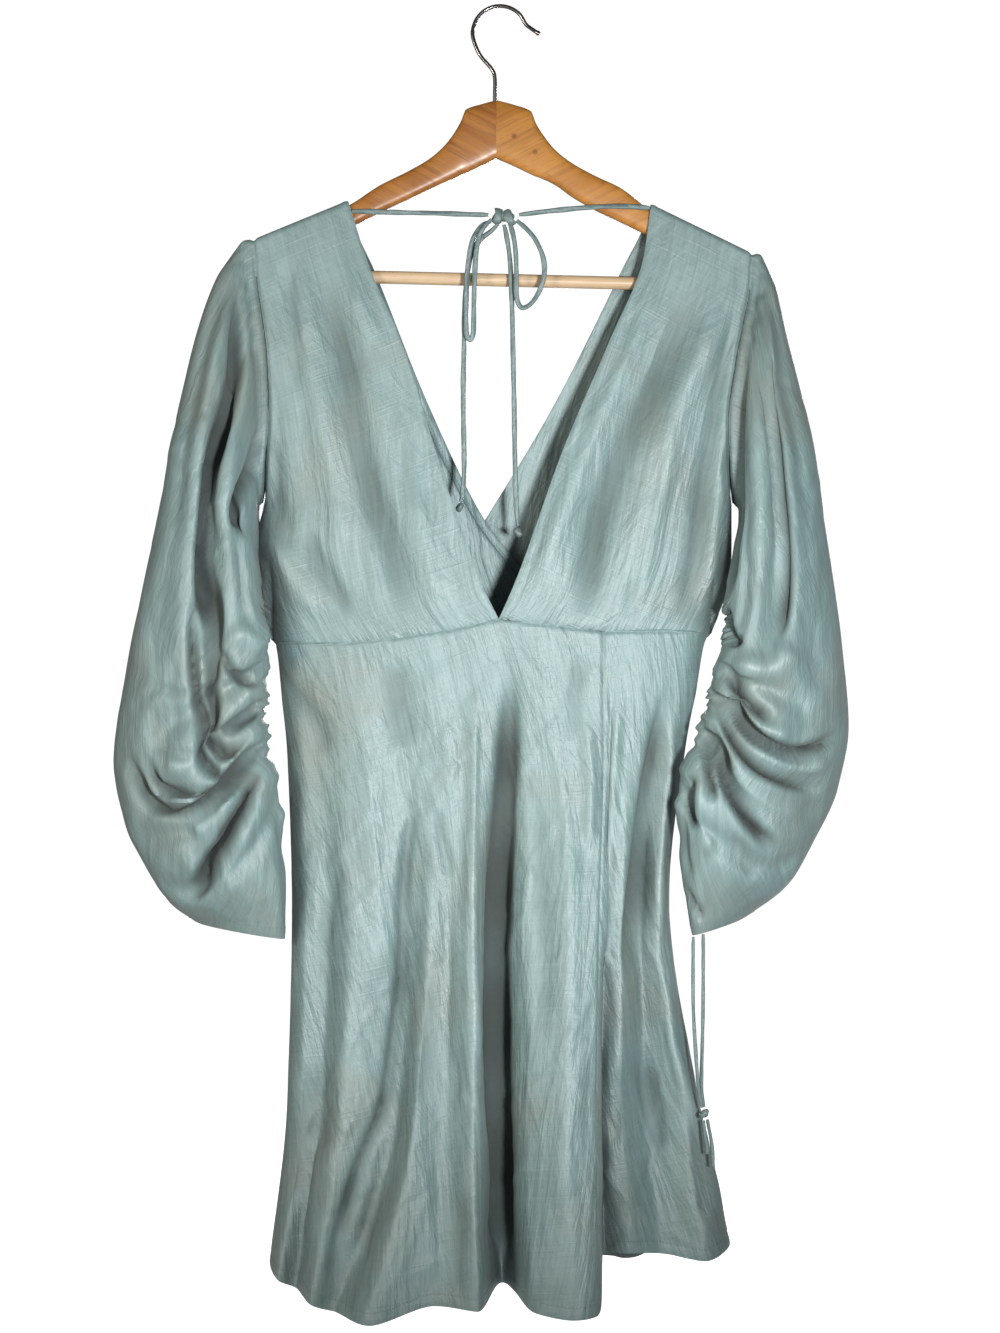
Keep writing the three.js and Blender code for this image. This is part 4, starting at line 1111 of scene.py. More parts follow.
@dataclass
class Knot:
    """A knot: bands of the strip wound round a core, each a flattened ring.

    A band is (x, y, z of its middle, radius across, radius up, turn, tilt, half width).
    """

    name: str
    core: tuple[float, float, float]
    size: tuple[float, float, float]
    bands: Sequence[tuple[float, ...]]
    sides: int = 12
    rings: int = 40
    half_thick: float = 0.95

    def band(self, row: tuple[float, ...]) -> Array:
        """Rings round one turn: an upright ellipse, turned about z and tilted about y.

        Args:
            row: The band's numbers.

        Returns:
            Points by ring and side, in millimetres.
        """
        dx, dy, dz, wide, tall, turn, tilt, half = row
        a = 2 * np.pi * np.arange(self.rings) / self.rings
        b = 2 * np.pi * np.arange(self.sides) / self.sides
        y = wide * np.cos(a)[:, None] * (1 + self.half_thick * np.sin(b)[None, :] / wide)
        z = tall * np.sin(a)[:, None] * (1 + self.half_thick * np.sin(b)[None, :] / tall)
        x = half * np.cos(b)[None, :] * (1 + 0.16 * np.cos(3 * a + dx))[:, None]
        x = x + 0.12 * wide * np.sin(a * 2 + dz)[:, None]
        cx, sx = math.cos(tilt), math.sin(tilt)
        x, z = x * cx + z * sx, -x * sx + z * cx
        ct, st = math.cos(turn), math.sin(turn)
        x, y = x * ct - y * st, x * st + y * ct
        return np.stack([x + self.core[0] + dx, y + self.core[1] + dy, z + self.core[2] + dz], -1)

    def build(self) -> bpy.types.Object:
        """Makes the core, a lumpy ball, and the bands round it as one piece.

        Returns:
            The knot as one piece.
        """
        a, b = np.meshgrid(np.linspace(0, 2 * np.pi, 25)[:-1], np.linspace(0.12, np.pi - 0.12, 12),
                           indexing="ij")
        lump = 1 + 0.06 * np.sin(3 * a + 1) * np.sin(b)
        ball = np.stack([np.sin(b) * np.cos(a) * self.size[0], np.sin(b) * np.sin(a) * self.size[1],
                         np.cos(b) * self.size[2]], -1) * lump[..., None] + np.array(self.core)
        ball = np.swapaxes(ball, 0, 1)
        points = [ball.reshape(-1, 3)]
        quads = [tube_quads(ball.shape[0], ball.shape[1])]
        base = len(points[0])
        for row in self.bands:
            ring = self.band(row)
            points.append(ring.reshape(-1, 3))
            quads.append(tube_quads(self.rings, self.sides, closed=True) + base)
            base += len(points[-1])
        cloud = np.concatenate(points)
        uvs = np.stack([cloud[:, 0] + cloud[:, 1], cloud[:, 2]], -1) * MM
        piece = make_mesh(self.name, cloud, np.concatenate(quads), uvs)
        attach(piece, "root")
        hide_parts(self.name)
        log.info("%s: %d faces", self.name, len(piece.data.polygons))
        return piece


@dataclass
class Stitching:
    """A row of short threads on a line of the cloth."""

    name: str
    pitch: float = 3.1
    length: float = 2.3
    half_wide: float = 0.28
    sink: float = 0.05
    sides: int = 6

    def build(self, points: Array, normals: Array) -> bpy.types.Object:
        """Places one thread at each step of the line.

        Args:
            points: The line, in millimetres.
            normals: Which way the cloth faces there.

        Returns:
            All threads as one piece.
        """
        reach = run_length(points, 0)
        at = np.arange(self.pitch, reach[-1] - self.pitch, self.pitch)
        middle = np.stack([np.interp(at, reach, points[:, k]) for k in range(3)], -1)
        ahead = np.stack([np.interp(at + 0.5, reach, points[:, k]) for k in range(3)], -1)
        up = unit(np.stack([np.interp(at, reach, normals[:, k]) for k in range(3)], -1))
        run = unit(ahead - middle)
        wide = np.cross(run, up)
        a = 2 * np.pi * np.arange(self.sides) / self.sides
        stations = np.array([-0.5, -0.36, 0.0, 0.36, 0.5])
        swell = np.array([0.25, 0.85, 1.0, 0.85, 0.25])
        dip = np.array([-0.5, -0.05, 0.1, -0.05, -0.5])
        middle = middle + up * (self.half_wide * 0.4 - self.sink)
        width = swell[:, None] * np.cos(a) * self.half_wide
        height = swell[:, None] * np.sin(a) * self.half_wide
        ring = (middle[:, None, None]
                + run[:, None, None] * (stations * self.length)[None, :, None, None]
                + up[:, None, None] * (dip * self.half_wide)[None, :, None, None]
                + wide[:, None, None] * width[None, ..., None]
                + up[:, None, None] * height[None, ..., None])
        one = tube_quads(len(stations), self.sides)
        size = len(stations) * self.sides
        quads = (one[None] + (np.arange(len(at)) * size)[:, None, None]).reshape(-1, 4)
        piece = make_mesh(self.name, ring.reshape(-1, 3), quads)
        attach(piece, "root")
        log.info("%s: %d stitches", self.name, len(at))
        return piece


# Hanger
ARM_LEFT = [
    (-3.02, -78.5, -128), (-16, -82, -134.5), (-29, -86.5, -140.5), (-33, -96, -142),
    (-38, -105, -144.5), (-47, -117, -148.5), (-60, -128.5, -154.5), (-77, -138.5, -162.5),
    (-102, -151, -174), (-129, -168.2, -188), (-160, -180, -208), (-178, -187, -237),
    (-196, -194.2, -242), (-203, -197.5, -236),
]
ARM_RIGHT = [
    (-2.98, -78.5, -128), (12, -82.5, -134.5), (26.5, -88, -141.5), (30, -97, -143),
    (35.5, -106.5, -145), (47, -121, -150.5), (61, -132, -160.5), (80, -142.5, -171.5),
    (102, -153, -182), (128, -172.2, -195), (162, -187.6, -214), (182, -196.2, -245),
    (200, -205, -250), (208, -209.3, -244),
]


@dataclass
class HangerArm:
    """A wooden arm: upright rounded sections along x between a top and a bottom edge."""

    name: str
    stations: Sequence[tuple[float, float, float]]
    half_thick: float = 6.5
    power: float = 3.4
    sides: int = 48
    steps: int = 150

    def build(self) -> bpy.types.Object:
        """Makes the arm: full sections with softly rounded edges, closed at both ends.

        Returns:
            The arm as a closed mesh.
        """
        rows = sorted(self.stations)
        xs = [row[0] for row in rows]
        top = Curve(xs, [row[1] for row in rows])
        bottom = Curve(xs, [row[2] for row in rows])
        x = np.unique(np.concatenate([np.linspace(xs[0], xs[-1], self.steps), np.array(xs)]))
        middle = (top(x) + bottom(x)) / 2
        tall = (top(x) - bottom(x)) / 2
        c, s = full_ring(self.sides, self.power, 0.5)
        points = np.stack([np.broadcast_to(x[:, None], (len(x), self.sides)),
                           np.broadcast_to(self.half_thick * c, (len(x), self.sides)),
                           middle[:, None] + tall[:, None] * s], -1)
        quads = tube_quads(len(x), self.sides)
        piece = make_mesh(self.name, points.reshape(-1, 3), quads, sharp=40)
        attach(piece, "root")
        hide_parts(self.name)
        log.info("%s built", self.name)
        return piece


@dataclass
class Rod:
    """A round rod or bent wire along a route, with softly rounded ends."""

    name: str
    route: Route
    radius: float
    slot: str
    sides: int = 24
    steps: int = 10
    ball: float = 1.0

    def build(self) -> bpy.types.Object:
        """Makes the rod: round rings that shrink at the ends.

        Returns:
            The rod as a closed mesh.
        """
        line = catmull(self.route, self.steps)
        reach = run_length(line, 0)
        radius = self.radius * mix(0.8, 1, smooth(0, self.radius * 0.4, reach))
        tip = reach[-1] - reach
        radius = radius * mix(1.0, self.ball, smooth(self.radius * 2.4, self.radius * 1.2, tip))
        radius = radius * mix(0.55, 1, smooth(0, self.radius * 0.7, tip))
        rings = tube_points(line, radius, radius, self.sides, np.zeros(len(line)))
        piece = make_mesh(self.name, rings.reshape(-1, 3), tube_quads(len(line), self.sides))
        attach(piece, "root")
        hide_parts(self.name)
        log.info("%s built", self.name)
        return piece


def hook_route() -> list[tuple[float, float, float]]:
    """The hook's wire: up the stem, out to the left, round a circle and out to the tip.

    Returns:
        The points of the wire's middle, in millimetres.
    """
    radius, drop = 23.2, -21.5
    arc = [(radius * math.cos(math.radians(a)), 0.0, drop + radius * math.sin(math.radians(a)))
           for a in (192, 170, 145, 120, 95, 70, 45, 20)]
    return [(-4.4, 0, -99), (-4.4, 0, -76), (-4.4, 0, -60), (-7, 0, -52), (-17, 0, -40), *arc,
            (26.5, 0, -17.5), (34, 0, -22.5)]


# Materials
class Graph:
    """A node tree that is filled by short calls."""

    def __init__(self, tree: bpy.types.NodeTree) -> None:
        """Keeps the tree."""
        self.tree = tree

    def add(self, kind: str, values: dict | None = None, links: dict | None = None,
            **settings: object) -> bpy.types.Node:
        """Adds a node.

        Args:
            kind: Blender's name of the node.
            values: Constants by socket name or number.
            links: Sources by socket name or number.
            **settings: Properties of the node.

        Returns:
            The node.
        """
        node = self.tree.nodes.new(kind)
        for key, value in settings.items():
            setattr(node, key, value)
        for key, value in (values or {}).items():
            node.inputs[key].default_value = value
        for key, source in (links or {}).items():
            self.tree.links.new(source, node.inputs[key])
        return node

    def mapped(self, source: bpy.types.NodeSocket, scale: Sequence[float],
               turn: Sequence[float] = (0, 0, 0), shift: Sequence[float] = (0, 0, 0)
               ) -> bpy.types.NodeSocket:
        """A place that is turned, then scaled."""
        turned = self.add("ShaderNodeMapping", {"Rotation": turn, "Location": shift},
                          {"Vector": source})
        return self.add("ShaderNodeMapping", {"Scale": scale},
                        {"Vector": turned.outputs[0]}).outputs[0]

    def noise(self, place: bpy.types.NodeSocket, scale: float = 1.0, detail: float = 2.0,
              rough: float = 0.5, twist: float = 0.0) -> bpy.types.NodeSocket:
        """Noise between 0 and 1."""
        node = self.add("ShaderNodeTexNoise", {"Scale": scale, "Detail": detail,
                                               "Roughness": rough, "Distortion": twist},
                        {"Vector": place})
        return node.outputs["Fac"]

    def span(self, value: bpy.types.NodeSocket, low: float, high: float, to_low: float = 0.0,
             to_high: float = 1.0) -> bpy.types.NodeSocket:
        """A value brought from one range to another, held at its ends."""
        node = self.add("ShaderNodeMapRange", {1: low, 2: high, 3: to_low, 4: to_high}, {0: value})
        return node.outputs[0]

    def sum(self, a: bpy.types.NodeSocket, b: bpy.types.NodeSocket | float,
            how: str = "ADD") -> bpy.types.NodeSocket:
        """Two values under one sum.

        Args:
            a: A value.
            b: A value or a number.
            how: Blender's name of the sum.

        Returns:
            The socket of the result.
        """
        node = self.add("ShaderNodeMath", None, {0: a}, operation=how)
        if isinstance(b, float):
            node.inputs[1].default_value = b
        else:
            self.tree.links.new(b, node.inputs[1])
        return node.outputs[0]

    def blend(self, a: object, b: object, share: bpy.types.NodeSocket) -> bpy.types.NodeSocket:
        """Two colours mixed by a share. Each is a socket or a colour.

        Args:
            a: The colour at share 0.
            b: The colour at share 1.
            share: How much of b shows.

        Returns:
            The socket of the mixed colour.
        """
        node = self.add("ShaderNodeMix", None, {0: share}, data_type="RGBA")
        for index, colour in ((6, a), (7, b)):
            if isinstance(colour, tuple):
                node.inputs[index].default_value = (*colour, 1.0)
            else:
                self.tree.links.new(colour, node.inputs[index])
        return node.outputs[2]


def new_group(name: str, inputs: Iterable[tuple[str, str]], outputs: Iterable[tuple[str, str]]
              ) -> tuple[Graph, bpy.types.Node, bpy.types.Node]:
    """An empty node group with named sockets.

    Args:
        name: Its name.
        inputs: Socket names and kinds going in.
        outputs: Socket names and kinds coming out.

    Returns:
        The graph, its input node and its output node.
    """
    tree = bpy.data.node_groups.new(name, "ShaderNodeTree")
    for label, kind in inputs:
        tree.interface.new_socket(name=label, in_out="INPUT", socket_type=f"NodeSocket{kind}")
    for label, kind in outputs:
        tree.interface.new_socket(name=label, in_out="OUTPUT", socket_type=f"NodeSocket{kind}")
    graph = Graph(tree)
    return graph, graph.add("NodeGroupInput"), graph.add("NodeGroupOutput")


def new_material(name: str) -> tuple[bpy.types.Material, Graph, bpy.types.Node]:
    """A material with its graph and its Principled shader.

    Args:
        name: The material's name.

    Returns:
        The material, its graph and its shader.
    """
    made = bpy.data.materials.new(name)
    made.use_nodes = True
    return made, Graph(made.node_tree), made.node_tree.nodes["Principled BSDF"]


def slub_weave() -> bpy.types.NodeTree:
    """The cloth's pattern: fine yarns both ways, thick slubs, blotches, soft crumples and painted
    sheen.

    Yarns are noise stretched along one way. Height is their sum with the crumples.

    Returns:
        The node group, from a place in metres to colour, roughness, height and long creases.
    """
    graph, source, sink = new_group(
        "slub weave",
        [("Place", "Vector"), ("Mid", "Color"), ("Dark", "Color"), ("Light", "Color"),
         ("Tinge", "Color"), ("Slub", "Float")],
        [("Colour", "Color"), ("Roughness", "Float"), ("Height", "Float"), ("Crease", "Float")])
    place = source.outputs["Place"]
    warp = graph.noise(graph.mapped(place, (620, 9, 1)), 1, 3, 0.65)
    weft = graph.noise(graph.mapped(place, (14, 700, 1)), 1, 3, 0.65)
    slub_weft = graph.noise(graph.mapped(place, (17, 420, 1), shift=(3, 1, 0)), 1, 1, 0.5)
    slub_warp = graph.noise(graph.mapped(place, (380, 13, 1), shift=(1, 4, 0)), 1, 1, 0.5)
    threads = graph.sum(graph.sum(warp, weft), 0.5, "MULTIPLY")
    slubs = graph.sum(graph.span(slub_weft, 0.56, 0.74), graph.span(slub_warp, 0.58, 0.76))
    slubs = graph.sum(slubs, source.outputs["Slub"], "MULTIPLY")
    blotch = graph.noise(place, 6.5, 3, 0.55, 0.4)
    cloud = graph.noise(graph.mapped(place, (1, 1, 1), shift=(5, 2, 0)), 16, 3, 0.6, 0.5)
    crumple = graph.noise(graph.mapped(place, (1, 0.16, 1)), 62, 4, 0.62, 0.7)
    streak = graph.noise(graph.mapped(place, (210, 11, 1), (0, 0, 0.06)), 1, 4, 0.65, 0.5)
    nap = graph.noise(graph.mapped(place, (520, 60, 1), (0, 0, -0.1)), 1, 2, 0.6)
    base = graph.blend(source.outputs["Dark"], source.outputs["Mid"],
                       graph.span(threads, 0.34, 0.54, 0.35, 1.0))
    lit = graph.blend(base, source.outputs["Light"], graph.sum(slubs, 0.2, "MULTIPLY"))
    # Painted sheen, partly the cloth's own uneven tone: cloudy patches and streaks along the yarns
    # lighten the colour towards the pale tone, and the streaks darken it between them
    shade = graph.sum(graph.span(cloud, 0.42, 0.7, 0.0, 0.3),
                      graph.span(streak, 0.48, 0.72, 0.0, 0.3))
    toned = graph.blend(lit, source.outputs["Light"], shade)
    toned = graph.blend(toned, source.outputs["Dark"], graph.span(streak, 0.5, 0.3, 0.0, 0.3))
    tinged = graph.blend(toned, source.outputs["Tinge"], graph.span(blotch, 0.48, 0.68, 0.0, 0.6))
    rough = graph.sum(graph.span(threads, 0.3, 0.7, 0.4, 0.52),
                      graph.span(cloud, 0.3, 0.7, 0.0, 0.08))
    height = graph.sum(graph.sum(threads, 0.7, "MULTIPLY"), graph.sum(slubs, 0.16, "MULTIPLY"))
    long = graph.noise(graph.mapped(place, (46, 7, 1), (0, 0, 0.05)), 1, 3, 0.55, 0.8)
    slant = graph.noise(graph.mapped(place, (70, 17, 1), (0, 0, 0.42)), 1, 3, 0.6, 0.9)
    crease = graph.sum(long, graph.sum(slant, 0.5, "MULTIPLY"))
    height = graph.sum(height, graph.sum(crumple, 1.1, "MULTIPLY"))
    height = graph.sum(height, graph.sum(graph.sum(streak, 0.8, "MULTIPLY"),
                                         graph.sum(nap, 0.35, "MULTIPLY")))
    for label, value in (("Colour", tinged), ("Roughness", rough), ("Height", height),
                         ("Crease", crease)):
        graph.tree.links.new(value, sink.inputs[label])
    return graph.tree


@dataclass(frozen=True)
class SatinLinen:
    """Sea-green satin linen with slubs.

    grain turns its yarns, in degrees. The trough colour paints shade into fold troughs, and the depths
    colour paints shade into hollows that occlusion finds.
    creasing is the height of its long creases in metres, bump the strength of its weave.
    """

    name: str
    grain: float = 0.0
    slub: float = 1.0
    mid: Colour = (0.185, 0.275, 0.272)
    dark: Colour = (0.125, 0.19, 0.188)
    light: Colour = (0.3, 0.42, 0.418)
    tinge: Colour = (0.225, 0.23, 0.195)
    # Painted shade: fold troughs are darkened towards this colour
    trough_shade: Colour = (0.055, 0.062, 0.053)
    # Painted shade: hollows and gaps that the occlusion node finds are darkened towards this colour
    depths: Colour = (0.04, 0.052, 0.05)
    gloss: float = 1.0
    creasing: float = 0.005
    bump: float = 0.45

    def material(self, weave: bpy.types.NodeTree) -> bpy.types.Material:
        """The material: the weave's colours with painted shade and matt in troughs, painted highlight
        on ridges and painted shade in hollows, a satin gloss, two bumps.

        Args:
            weave: The node group of the pattern.

        Returns:
            The material.
        """
        made, graph, shader = new_material(self.name)
        place = graph.add("ShaderNodeUVMap", uv_map="cloth").outputs[0]
        turned = graph.add("ShaderNodeMapping", {"Rotation": (0, 0, math.radians(self.grain))},
                           {"Vector": place}).outputs[0]
        cloth = graph.add("ShaderNodeGroup", node_tree=weave)
        graph.tree.links.new(turned, cloth.inputs["Place"])
        for label, colour in (("Mid", self.mid), ("Dark", self.dark), ("Light", self.light),
                              ("Tinge", self.tinge)):
            cloth.inputs[label].default_value = (*colour, 1.0)
        cloth.inputs["Slub"].default_value = self.slub
        creases = graph.add("ShaderNodeBump", {"Strength": 0.6, "Distance": self.creasing},
                            {"Height": cloth.outputs["Crease"]})
        bump = graph.add("ShaderNodeBump", {"Strength": self.bump, "Distance": 0.0016},
                         {"Height": cloth.outputs["Height"], "Normal": creases.outputs[0]})
        trough = graph.add("ShaderNodeAttribute", attribute_name="trough").outputs["Fac"]
        # Painted shade: fold troughs, read from the trough attribute, are darkened nearly to black
        fold_shaded_and_lit = graph.blend(cloth.outputs["Colour"], self.trough_shade,
                           graph.span(trough, 0.06, 1.0, 0.0, 0.88))
        # Painted highlight: fold ridges are lightened towards the pale colour
        fold_shaded_and_lit = graph.blend(fold_shaded_and_lit, self.light, graph.span(trough, -0.05, -0.5, 0.0, 0.35))
        # Painted shade: an occlusion node darkens hollows and the gaps between parts
        occlusion = graph.add("ShaderNodeAmbientOcclusion", {"Distance": 0.03}, samples=3)
        shown = graph.blend(self.depths, fold_shaded_and_lit, graph.span(occlusion.outputs["AO"], 0.25, 0.75))
        graph.tree.links.new(shown, shader.inputs["Base Color"])
        rough = graph.sum(cloth.outputs["Roughness"], graph.span(trough, 0.0, 0.5, 0.0, 0.45))
        graph.tree.links.new(rough, shader.inputs["Roughness"])
        graph.tree.links.new(bump.outputs[0], shader.inputs["Normal"])
        shader.inputs["Specular IOR Level"].default_value = self.gloss
        shader.inputs["Sheen Weight"].default_value = 0.1
        shader.inputs["Sheen Roughness"].default_value = 0.4
        return made


def wood_grain() -> bpy.types.NodeTree:
    """Grain of wood: long streaks, broad bands and fine pores along x of the given place.

    Returns:
        The node group, from a place to colour, roughness and height.
    """
    graph, source, sink = new_group(
        "wood grain",
        [("Place", "Vector"), ("Pale", "Color"), ("Mid", "Color"), ("Dark", "Color")],
        [("Colour", "Color"), ("Roughness", "Float"), ("Height", "Float")])
    place = source.outputs["Place"]
    bands = graph.noise(graph.mapped(place, (5, 60, 60)), 1, 3, 0.5, 1.2)
    streaks = graph.noise(graph.mapped(place, (14, 420, 420)), 1, 3, 0.6, 0.3)
    pores = graph.noise(graph.mapped(place, (90, 1500, 1500)), 1, 1, 0.5)
    patch = graph.noise(place, 24, 2, 0.5)
    tone = graph.blend(source.outputs["Mid"], source.outputs["Pale"], graph.span(bands, 0.4, 0.66))
    tone = graph.blend(tone, source.outputs["Dark"], graph.span(streaks, 0.5, 0.75, 0.0, 0.55))
    tone = graph.blend(tone, source.outputs["Dark"], graph.span(pores, 0.6, 0.75, 0.0, 0.35))
    tone = graph.blend(tone, source.outputs["Pale"], graph.span(patch, 0.45, 0.75, 0.0, 0.35))
    rough = graph.span(streaks, 0.3, 0.7, 0.32, 0.45)
    height = graph.sum(graph.sum(streaks, 0.6, "MULTIPLY"), graph.sum(pores, 0.4, "MULTIPLY"))
    for label, value in (("Colour", tone), ("Roughness", rough), ("Height", height)):
        graph.tree.links.new(value, sink.inputs[label])
    return graph.tree


@dataclass(frozen=True)
class Wood:
    """Lacquered or bare wood whose grain runs along an axis turned about y, with its knots.

    A knot is (x, z, radius, strength) in metres.
    """

    name: str
    turn: float
    pale: Colour
    mid: Colour
    dark: Colour
    coat: float = 0.25
    half_thick: float = 0.0065
    knots: Sequence[tuple[float, float, float, float]] = ()

    def material(self, grain: bpy.types.NodeTree) -> bpy.types.Material:
        """The material: the grain's colours, darker at knots, under a thin lacquer.

        Args:
            grain: The node group of the grain.

        Returns:
            The material.
        """
        made, graph, shader = new_material(self.name)
        place = graph.add("ShaderNodeTexCoord").outputs["Object"]
        turned = graph.add("ShaderNodeMapping", {"Rotation": (0, math.radians(self.turn), 0)},
                           {"Vector": place}).outputs[0]
        wood = graph.add("ShaderNodeGroup", node_tree=grain)
        graph.tree.links.new(turned, wood.inputs["Place"])
        for label, colour in (("Pale", self.pale), ("Mid", self.mid), ("Dark", self.dark)):
            wood.inputs[label].default_value = (*colour, 1.0)
        colour = wood.outputs["Colour"]
        for x, z, radius, strength in self.knots:
            gap = graph.add("ShaderNodeVectorMath", None, {0: place}, operation="DISTANCE")
            gap.inputs[1].default_value = (x, -self.half_thick, z)
            share = graph.span(gap.outputs["Value"], radius * 0.4, radius, strength, 0.0)
            colour = graph.blend(colour, self.dark, share)
        graph.tree.links.new(colour, shader.inputs["Base Color"])
        graph.tree.links.new(wood.outputs["Roughness"], shader.inputs["Roughness"])
        bump = graph.add("ShaderNodeBump", {"Strength": 0.2, "Distance": 0.0004},
                         {"Height": wood.outputs["Height"]})
        graph.tree.links.new(bump.outputs[0], shader.inputs["Normal"])
        shader.inputs["Coat Weight"].default_value = self.coat
        shader.inputs["Coat Roughness"].default_value = 0.25
        return made


@dataclass(frozen=True)
class PlatedSteel:
    """Bright plated wire with faint drawing marks. Both its tones are darker than bare steel: they
    paint in the dim surroundings that it reflects.
    """

    name: str
    # Painted reflection: both tones are set dark to stand for the dim room that the wire reflects
    bright: Colour = (0.42, 0.4, 0.38)
    dull: Colour = (0.2, 0.18, 0.16)

    def material(self) -> bpy.types.Material:
        """The material: metal whose tone and roughness wander a little.

        Returns:
            The material.
        """
        made, graph, shader = new_material(self.name)
        place = graph.add("ShaderNodeTexCoord").outputs["Object"]
        marks = graph.noise(graph.mapped(place, (900, 900, 60)), 1, 2, 0.5)
        patch = graph.noise(place, 55, 3, 0.6)
        colour = graph.blend(self.dull, self.bright, graph.span(patch, 0.38, 0.62))
        graph.tree.links.new(colour, shader.inputs["Base Color"])
        graph.tree.links.new(graph.span(marks, 0.3, 0.7, 0.14, 0.3), shader.inputs["Roughness"])
        shader.inputs["Metallic"].default_value = 1.0
        return made


def dress_in(piece: bpy.types.Object, finish: bpy.types.Material) -> None:
    """Gives a piece its one material."""
    piece.data.materials.clear()
    piece.data.materials.append(finish)


# Studio
@dataclass
class Studio:
    """Camera, lights and a pale round backdrop that rises from the floor. Sizes are in metres."""

    floor: float = -1.32
    flat: float = 3.4
    sweep: float = 1.8
    height: float = 3.2
    sides: int = 96
    glow: float = 0.1
    ambient: float = 0.06
    aim: tuple[float, float, float] = (0.0, 0.0, -0.55)

    def camera(self) -> None:
        """A camera on the photograph's viewing line, square to the dress."""
        lens = bpy.data.cameras.new("camera")
        lens.sensor_fit = "VERTICAL"
        lens.sensor_height = 24.0
        lens.lens = lens.sensor_height / 2 * VIEW_DISTANCE / HALF_FRAME
        lens.clip_end = 50.0
        holder = bpy.data.objects.new("camera", lens)
        holder.location = (0.0, -VIEW_DISTANCE * MM, VIEW_HEIGHT * MM)
        holder.rotation_euler = (math.pi / 2, 0.0, 0.0)
        bpy.context.scene.collection.objects.link(holder)
        bpy.context.scene.camera = holder

    def light(self, name: str, place: tuple[float, float, float], size: float, power: float,
              colour: Colour = (1, 1, 1), cone: float = 0.0) -> None:
        """A soft light that faces the middle of the dress: square, or a cone in degrees.

        Args:
            name: The light's name.
            place: Where it stands, in metres.
            size: Its side, or its radius where it has a cone.
            power: Its power in watts.
            colour: Its colour.
            cone: The cone in degrees, or 0 for a square light.
        """
        lamp = bpy.data.lights.new(name, "SPOT" if cone else "AREA")
        if cone:
            lamp.shadow_soft_size = size
            lamp.spot_size = math.radians(cone)
            lamp.spot_blend = 1.0
        else:
            lamp.size = size
        lamp.energy = power
        lamp.color = colour
        holder = bpy.data.objects.new(name, lamp)
        holder.location = place
        way = np.array(self.aim) - np.array(place)
        tilt = math.atan2(math.hypot(way[0], way[1]), -way[2])
        holder.rotation_euler = (tilt, 0.0, math.atan2(way[1], way[0]) - math.pi / 2)
        bpy.context.scene.collection.objects.link(holder)

    def lights(self) -> None:
        """A key from the right, a warmer fill from the left and one behind."""
        self.light("key", (0.5, -2.0, -0.6), 0.12, 196.0, (0.95, 0.99, 1.0), 37.0)
        self.light("fill", (-1.3, -1.6, -0.3), 0.5, 15.0, (1.0, 0.95, 0.87))
        self.light("rear", (0.45, 2.4, 0.0), 0.8, 62.0)

    def backdrop(self) -> None:
        """A floor that turns up into a wall all round: a profile spun about z."""
        a = np.linspace(0, np.pi / 2, 14)
        radius = np.concatenate([[0.02, 1.0, 2.2], self.flat + self.sweep * np.sin(a),
                                 [self.flat + self.sweep]])
        z = np.concatenate([np.zeros(3), self.sweep * (1 - np.cos(a)), [self.height]]) + self.floor
        turn = 2 * np.pi * np.arange(self.sides) / self.sides
        points = np.stack([radius[None] * np.cos(turn)[:, None], radius[None] * np.sin(turn)[:, None],
                           np.broadcast_to(z, (self.sides, len(z)))], -1)
        quads = grid_quads(self.sides, len(z), True)[:, ::-1]
        bowl = make_mesh("backdrop", points.reshape(-1, 3) / MM, quads)
        made, graph, shader = new_material("backdrop")
        shader.inputs["Base Color"].default_value = (0.3, 0.3, 0.3, 1)
        shader.inputs["Roughness"].default_value = 0.9
        direct = graph.add("ShaderNodeLightPath").outputs["Is Camera Ray"]
        shader.inputs["Emission Color"].default_value = (1, 1, 1, 1)
        graph.tree.links.new(graph.span(direct, 0, 1, self.glow, 1.0),
                             shader.inputs["Emission Strength"])
        dress_in(bowl, made)

    def build(self) -> None:
        """Sets up the whole studio."""
        scene = bpy.context.scene
        scene.view_settings.view_transform = "Standard"
        world = bpy.data.worlds.new("studio")
        world.use_nodes = True
        sky = world.node_tree.nodes["Background"]
        sky.inputs["Color"].default_value = (1, 1, 1, 1)
        sky.inputs["Strength"].default_value = self.ambient
        scene.world = world
        self.camera()
        self.lights()
        self.backdrop()
        log.info("studio set up")


# Routes of the ties and the drawstring, the same as in the part's solids
TIE_LEFT = [
    (-125, -9.5, -174.2), (-120, -10.4, -174.6), (-113, -11.6, -175), (-104, -12.4, -175.3),
    (-92, -12.4, -175.6), (-80, -12.2, -175.9), (-68, -12, -176.1), (-56, -12, -176.3),
    (-44, -12.2, -176.7), (-33, -12.6, -177.2), (-24, -13.2, -177.6), (-16, -13.8, -177.9),
    (-9.6, -14.2, -178.1),
]
TIE_RIGHT = [
    (16.2, -14.2, -178), (24, -13.8, -177), (34, -13.2, -175.6), (44, -12.8, -174.4),
    (54, -12.6, -173.4), (64, -12.6, -172.4), (74, -12.6, -171.6), (84, -12.6, -171),
    (94, -12.6, -170.6), (104, -12.4, -170.6), (114, -11.4, -170.8), (121, -10.2, -171.2),
    (126.6, -9.5, -171.6),
]
LOOP_LEFT = [
    (-7.2, -17, -182.6), (-12.5, -18.5, -188), (-17.5, -19, -197), (-20.2, -19, -212),
    (-21.4, -19, -232), (-22, -19, -252), (-22.2, -19, -270), (-22.6, -19, -279),
    (-25, -19, -284), (-28, -19, -280), (-28.6, -18.6, -268), (-28.4, -18, -248),
    (-27.6, -17.6, -228), (-25.6, -17, -210), (-22, -16.4, -197), (-15, -15.8, -187.5),
    (-8.8, -13.8, -184),
]
